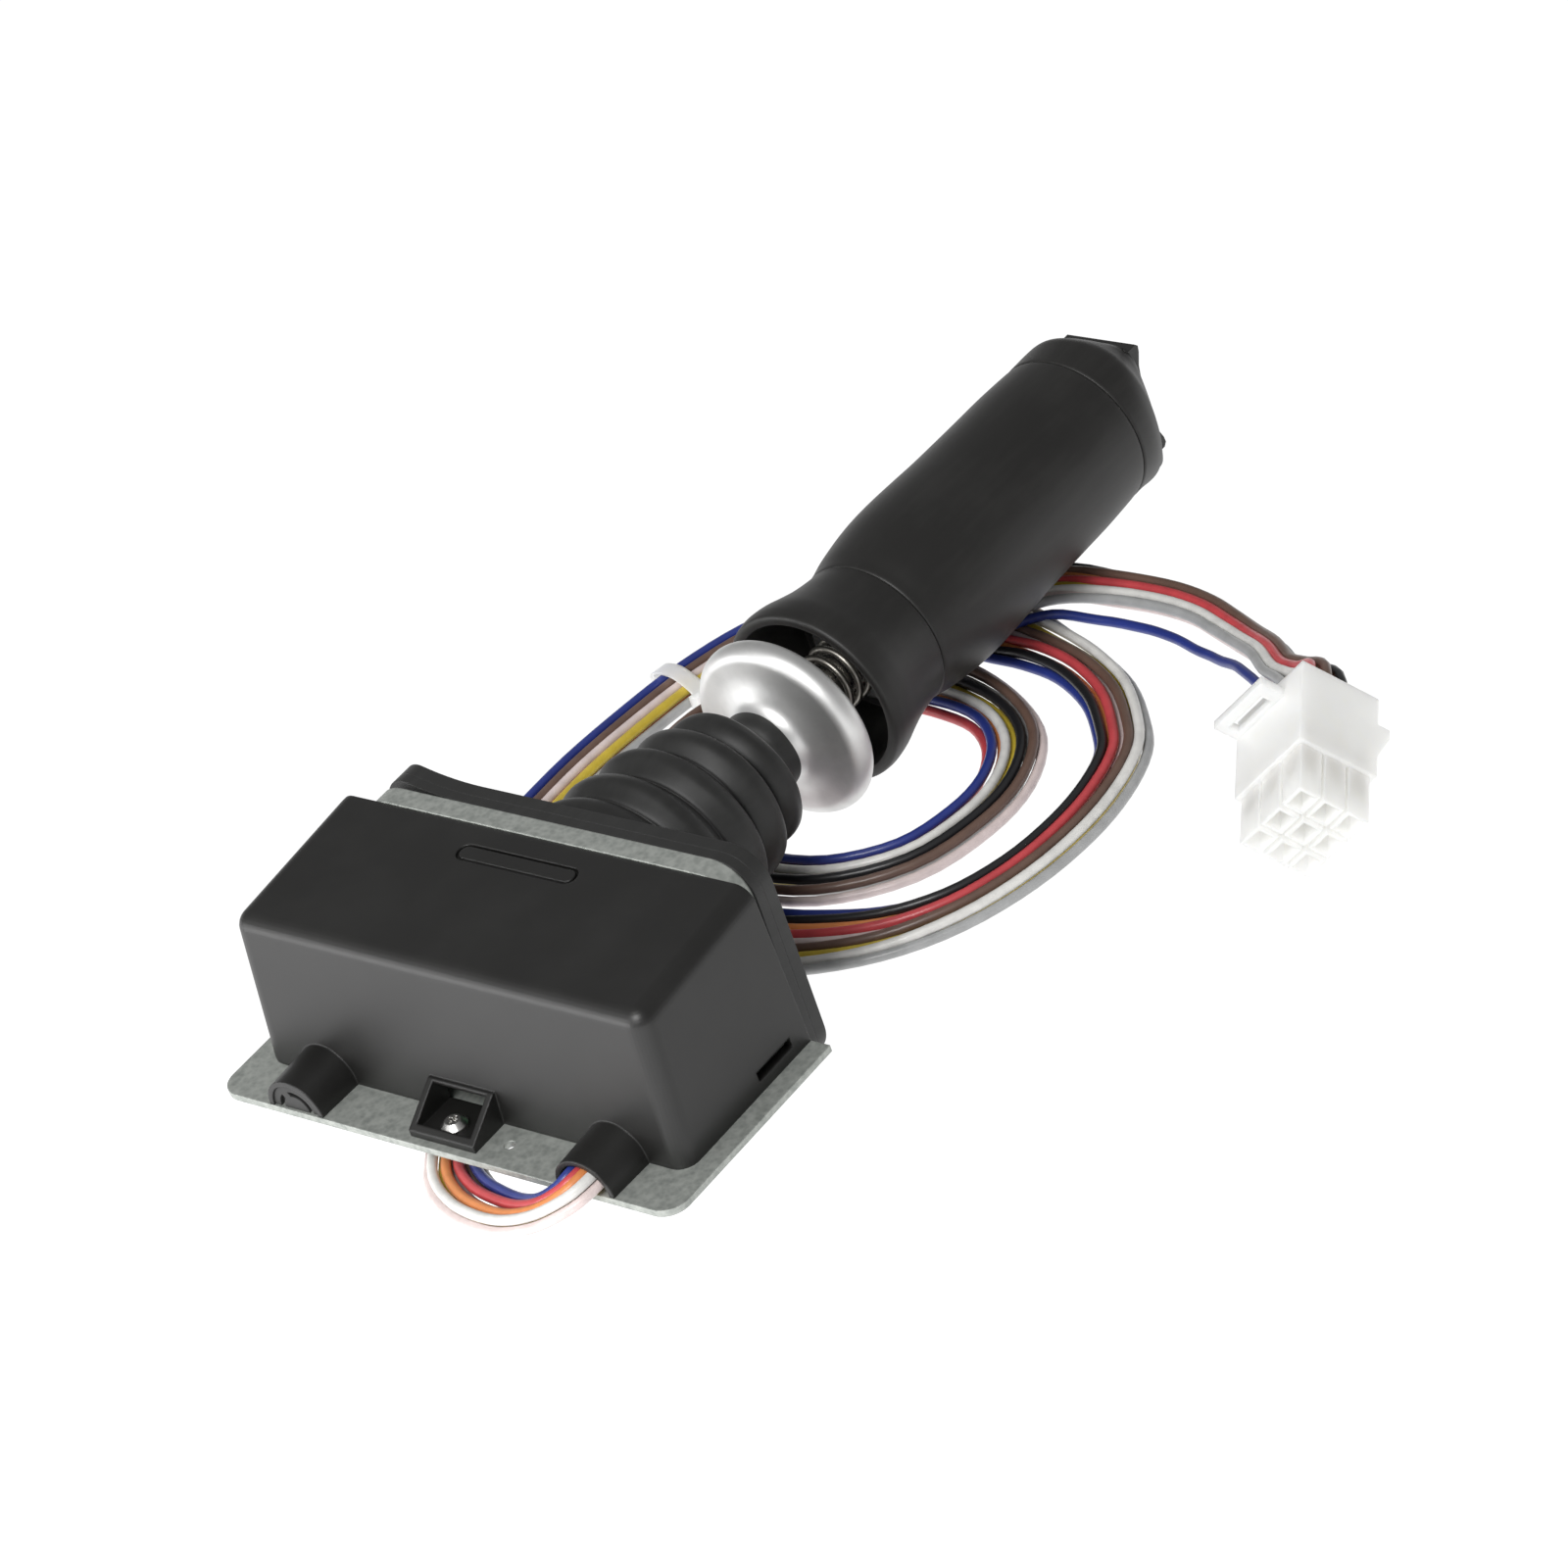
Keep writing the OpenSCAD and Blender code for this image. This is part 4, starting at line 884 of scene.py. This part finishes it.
def helix(name, radius, wire, y0, y1, turns, slot, body, sides=10, per=36):
    """A wound wire about the Y axis from y0 to y1, with closed ends."""
    verts, faces = [], []
    total = int(turns * per)
    span = y1 - y0 - 2.0 * wire
    ends = 1.0 / turns
    for k in range(total + 1):
        t = k / total
        if t < ends:
            run = END_RISE * (t / ends) ** 2
        elif t > 1.0 - ends:
            run = 1.0 - END_RISE * ((1.0 - t) / ends) ** 2
        else:
            run = END_RISE + (1.0 - 2.0 * END_RISE) * (t - ends) / (1.0 - 2.0 * ends)
        a = 2.0 * math.pi * turns * t
        y = y0 + wire + span * run
        for s in range(sides):
            b = 2.0 * math.pi * s / sides
            r = radius + wire * math.cos(b)
            verts.append((r * math.cos(a), y + wire * math.sin(b), r * math.sin(a)))
    for k in range(total):
        for s in range(sides):
            p, q = k * sides + s, k * sides + (s + 1) % sides
            faces.append((p, q, q + sides, p + sides))
    faces.append(tuple(range(sides)))
    faces.append(tuple(total * sides + s for s in reversed(range(sides))))
    return piece_from(name, verts, faces, slot, body, 60.0)


spring = helix("wound_spring", SPRING_R, SPRING_WIRE, SPRING_LOW, SPRING_TOP, SPRING_TURNS,
               "spring_steel", "lever")
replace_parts(spring, "collar_spring")
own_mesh(spring)

# %% [markdown]
# ### Grip
#
# The grip is a rubber sleeve over a moulded core. Its waist swells into a long palm
# and narrows again below the head. A fine seam parts it from the cup that guards the
# collar, and the cup is open towards the collar. A subdivided cylinder could be pulled
# into this shape, but a profile holds each width and each edge exactly.

# %% Cup and sleeve
# profiles as radius and place along the lever
CUP = [(20.2, 75.9), (20.75, 76.3), (21.0, 77.6), (21.0, 79.2), (20.55, 82.2), (19.6, 85.6),
       (18.6, 89.6), (17.95, 93.6), (17.62, 96.6), (17.6, 97.6), (17.2, 98.0)]
CUP_IN = [(11.0, 98.0), (11.0, 93.8), (15.0, 93.8), (16.2, 87.9), (17.6, 81.9), (18.0, 77.9),
          (18.5, 76.2), (19.2, 75.9)]
SLEEVE = [(17.2, 98.0), (17.65, 98.4), (18.0, 100.2), (18.75, 103.4), (19.4, 107.6), (19.9, 112.0),
          (20.15, 116.5), (20.15, 122.0), (19.9, 129.0), (19.6, 136.0), (19.45, 144.0),
          (19.35, 152.0), (19.3, 160.0), (19.1, 166.0), (18.9, 170.0), (18.75, 171.4), (18.4, 172.0)]
SLEEVE_IN = [(14.0, 172.0), (14.0, 102.0), (11.0, 102.0), (11.0, 98.0)]

cup = turned_piece("grip_cup_skin", flowing(CUP, 5) + CUP_IN, "grip_rubber", "lever", parts=160)
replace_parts(cup, "grip_cup")
sleeve = turned_piece("grip_sleeve", flowing(SLEEVE, 6) + SLEEVE_IN, "grip_rubber", "lever",
                      parts=160)
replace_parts(sleeve, "grip_body")

# %% [markdown]
# ### Head
#
# The head is a rubber cap pushed onto the grip. It starts round at a fine crease and
# turns into a flat, slightly rounded end face with a well for the rocker. The well
# could be cut with a Boolean, but that can leave ragged shading round it, so the skin is
# lofted. Each ring is a circle, an ellipse or a soft rectangle, from one formula.

# %% Head cap
WELL_BOTTOM, FACE_Y = 174.0, 186.6
RINGS = [  # half width, half height, middle z, squareness, y
    (18.55, 18.55, 0.0, 2.0, 172.0), (18.8, 18.8, 0.0, 2.0, 172.3), (18.75, 18.9, 0.0, 2.0, 175.0),
    (18.3, 19.1, -0.1, 2.05, 177.5), (17.4, 19.3, -0.3, 2.15, 179.6), (16.4, 19.0, -0.6, 2.3, 181.2),
    (14.6, 18.3, -1.1, 2.5, 183.0), (12.9, 17.4, -1.6, 3.0, 184.8), (11.4, 16.6, -2.0, 4.2, 186.1),
    (10.7, 16.2, -2.0, 5.5, FACE_Y), (10.2, 15.7, -1.9, 6.5, FACE_Y + 0.05),
    (9.45, 14.3, -0.55, 14.0, FACE_Y - 0.05), (9.3, 14.1, -0.5, 16.0, FACE_Y - 0.6),
    (9.3, 14.1, -0.5, 16.0, WELL_BOTTOM), (9.2, 9.2, 0.0, 2.0, WELL_BOTTOM),
    (9.2, 9.2, 0.0, 2.0, 172.0),
]
FLOWS_FROM, FLOWS_TO = 1, 10  # the rings that the outside curves smoothly through


def ring_radius(ring, a):
    """Radius of a ring at angle a. A squareness of 2 is an ellipse."""
    wide, tall, _, square, _ = ring
    return (abs(math.cos(a) / wide) ** square + abs(math.sin(a) / tall) ** square) ** (-1.0 / square)


def lofted(name, rings, slot, body, parts=160, sharp=40.0):
    """A closed skin through rings that stand along the Y axis."""
    verts = []
    for j in range(parts):
        a = 2.0 * math.pi * j / parts
        for ring in rings:
            r = ring_radius(ring, a)
            verts.append((r * math.cos(a), ring[4], ring[2] + r * math.sin(a)))
    return piece_from(name, verts, hoop_faces(parts, len(rings)), slot, body, sharp)


outside = flowing(RINGS[FLOWS_FROM:FLOWS_TO], 4)
head = lofted("head_cap", RINGS[:FLOWS_FROM] + outside + RINGS[FLOWS_TO:], "grip_rubber", "lever")
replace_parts(head, "head_shell")

# %% [markdown]
# ### Cable tie
#
# A nylon tie holds the bundle on the left side. Its strap is a thin band that stands a
# little proud of the wires and is flat where it lies on the floor, and its lock is a
# small block beside them. A torus would be round, so the band is a soft rectangle swept
# with its own section, and a Bevel modifier eases its edges.

# %% Cable tie
TIE_AT, TIE_TURN = Vector((-60.6, 96.5, -23.7)), math.radians(-14.0)
STRAP_W, STRAP_T, STRAP_PARTS = 4.0, 0.9, 72
STRAP_HALF, STRAP_LOW, STRAP_RISE, STRAP_SQUARE = 7.3, 2.25, 0.9, 3.0
STRAP_FLAT, STRAP_UP = -2.2, 0.1
# section as depth, from 0 outside to 1 inside, and half widths across
STRAP_SECTION = [(0.0, -1.0), (0.35, -0.82), (1.0, -0.8), (1.0, 0.8), (0.35, 0.82), (0.0, 1.0)]
LOCK = [(7.2, -2.8, -2.0), (10.6, -2.8, -2.0), (10.6, 2.8, -2.0), (7.2, 2.8, -2.0),
        (7.2, -2.8, 1.6), (10.1, -2.5, 2.2), (10.1, 2.5, 2.2), (7.2, 2.8, 1.6)]
LOCK_FACES = [(0, 3, 2, 1), (4, 5, 6, 7), (0, 1, 5, 4), (1, 2, 6, 5), (2, 3, 7, 6), (3, 0, 4, 7)]
TIE_EASE = 0.0002


def tie_point(x, y, z):
    """A place beside the bundle: across it, along it and up, in mm."""
    across = Vector((math.cos(TIE_TURN), math.sin(TIE_TURN), 0.0))
    along = Vector((-math.sin(TIE_TURN), math.cos(TIE_TURN), 0.0))
    return TIE_AT + across * x + along * y + Vector((0.0, 0.0, z))


def strap():
    """The band and its lock as one mesh."""
    verts = []
    for j in range(STRAP_PARTS):
        a = 2.0 * math.pi * j / STRAP_PARTS
        tall = STRAP_LOW + STRAP_RISE * max(0.0, math.sin(a))
        r = ring_radius((STRAP_HALF, tall, 0.0, STRAP_SQUARE, 0.0), a)
        for t, w in STRAP_SECTION:
            k = (r + (1.0 - t) * STRAP_T) / r
            x, z = r * math.cos(a) * k, r * math.sin(a) * k
            verts.append(tuple(tie_point(x, w * STRAP_W / 2, max(z, STRAP_FLAT) + STRAP_UP)))
    faces = hoop_faces(STRAP_PARTS, len(STRAP_SECTION))
    base = len(verts)
    verts += [tuple(tie_point(*corner)) for corner in LOCK]
    faces += [tuple(base + i for i in face) for face in LOCK_FACES]
    made = piece_from("tie_strap", verts, faces, "white_nylon", "base", 50.0)
    soft = made.modifiers.new("edges", "BEVEL")
    soft.width, soft.segments, soft.limit_method = TIE_EASE, 2, "ANGLE"
    return made


tie = strap()
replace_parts(tie, "cable_tie")

# %% [markdown]
# ## Finishes on the CAD parts
#
# The sheet metal, the cover, the connector and the small parts inside keep their CAD
# meshes. They could be copied and finished one by one, but the record already says what
# each is made of, so each takes the finish of that name.

# %% Finishes on the CAD parts
replaced = {"harness", "boot", "collar", "collar_spring", "grip_cup", "grip_body",
            "head_shell", "cable_tie", "flange_gasket", "boot_base"}
for part in frame["record"]["subparts"]:
    if part["node"] in replaced:
        continue
    slots = nodes[part["node"]].data.materials
    material = finishes[part["material_slot"]]
    if len(slots) == 0:
        slots.append(material)
    for k in range(len(slots)):
        slots[k] = material

# %% [markdown]
# ## Floor and room
#
# The joystick lies on plain white paper and casts no shadow that can be seen. Strong
# lamps could wash the paper out, but they would wash out the black parts too. So the
# paper gives off its own light, more in front than behind, which also lights the
# undersides, and a pale room fills in the rest.

# %% Floor and room
FLOOR_GAP, FLOOR_HALF = 0.0002, 3.0
GLOW_FRONT, GLOW_BACK = (2.0, 2.0, 2.02), (1.05, 1.05, 1.05)
GLOW_FADES = (-0.16, 0.0)  # along Y, from the front glow to the back glow
ROOM_LIGHT = 0.30

FLOOR_Z = cad_low.z - FLOOR_GAP
corners = [(x * FLOOR_HALF, y * FLOOR_HALF, FLOOR_Z) for x, y in ((-1, -1), (1, -1), (1, 1), (-1, 1))]
floor_mesh = bpy.data.meshes.new("floor")
floor_mesh.from_pydata(corners, [], [(0, 1, 2, 3)])
floor = bpy.data.objects.new("floor", floor_mesh)
bpy.context.scene.collection.objects.link(floor)
paper = Finish("paper")
toward = paper.node("ShaderNodeSeparateXYZ", {}, {0: paper.place})[1]  # its Y output
floor_mesh.materials.append(paper.set(
    Base_Color=(0.0, 0.0, 0.0),
    Roughness=1.0,
    Specular_IOR_Level=0.0,
    Emission_Color=paper.mix(toward.between(*GLOW_FADES), GLOW_FRONT, GLOW_BACK),
    Emission_Strength=1.0,
))

world = bpy.data.worlds.new("room")
bpy.context.scene.world = world
world.use_nodes = True
background = world.node_tree.nodes["Background"]
background.inputs["Color"].default_value = (1.0, 1.0, 1.0, 1.0)
background.inputs["Strength"].default_value = ROOM_LIGHT
print("floor at", round(FLOOR_Z, 4))

# %% [markdown]
# ## Lamps
#
# Three soft lamps draw the shape of the black parts: a wide one in front, a smaller and
# stronger one high on the right, and a low one on the left for the sides that face it.
# Sun lamps would be simpler, but their highlights are hard. The plain Standard view
# keeps the white floor white.

# %% Lamps
LAMPS = [  # name, place, aim, size in metres, power in watts
    ("front", (-0.2, -1.3, 0.85), (0.0, 0.05, 0.0), (2.2, 1.2), 8.0),
    ("high", (0.35, -1.0, 1.30), (0.0, 0.03, 0.0), (0.8, 0.6), 20.0),
    ("key", (-0.75, -1.05, 0.12), (0.0, -0.04, 0.0), (0.9, 0.25), 6.0),
]


def area_light(name, at, aim, size, power):
    """A rectangular lamp that faces its aim."""
    data = bpy.data.lights.new(name, "AREA")
    data.shape = "RECTANGLE"
    data.size, data.size_y = size
    data.energy = power
    made = bpy.data.objects.new(name, data)
    bpy.context.scene.collection.objects.link(made)
    made.location = at
    made.rotation_mode = "QUATERNION"
    made.rotation_quaternion = (Vector(aim) - Vector(at)).to_track_quat("-Z", "Y")


for lamp in LAMPS:
    area_light(*lamp)
bpy.context.scene.view_settings.view_transform = "Standard"
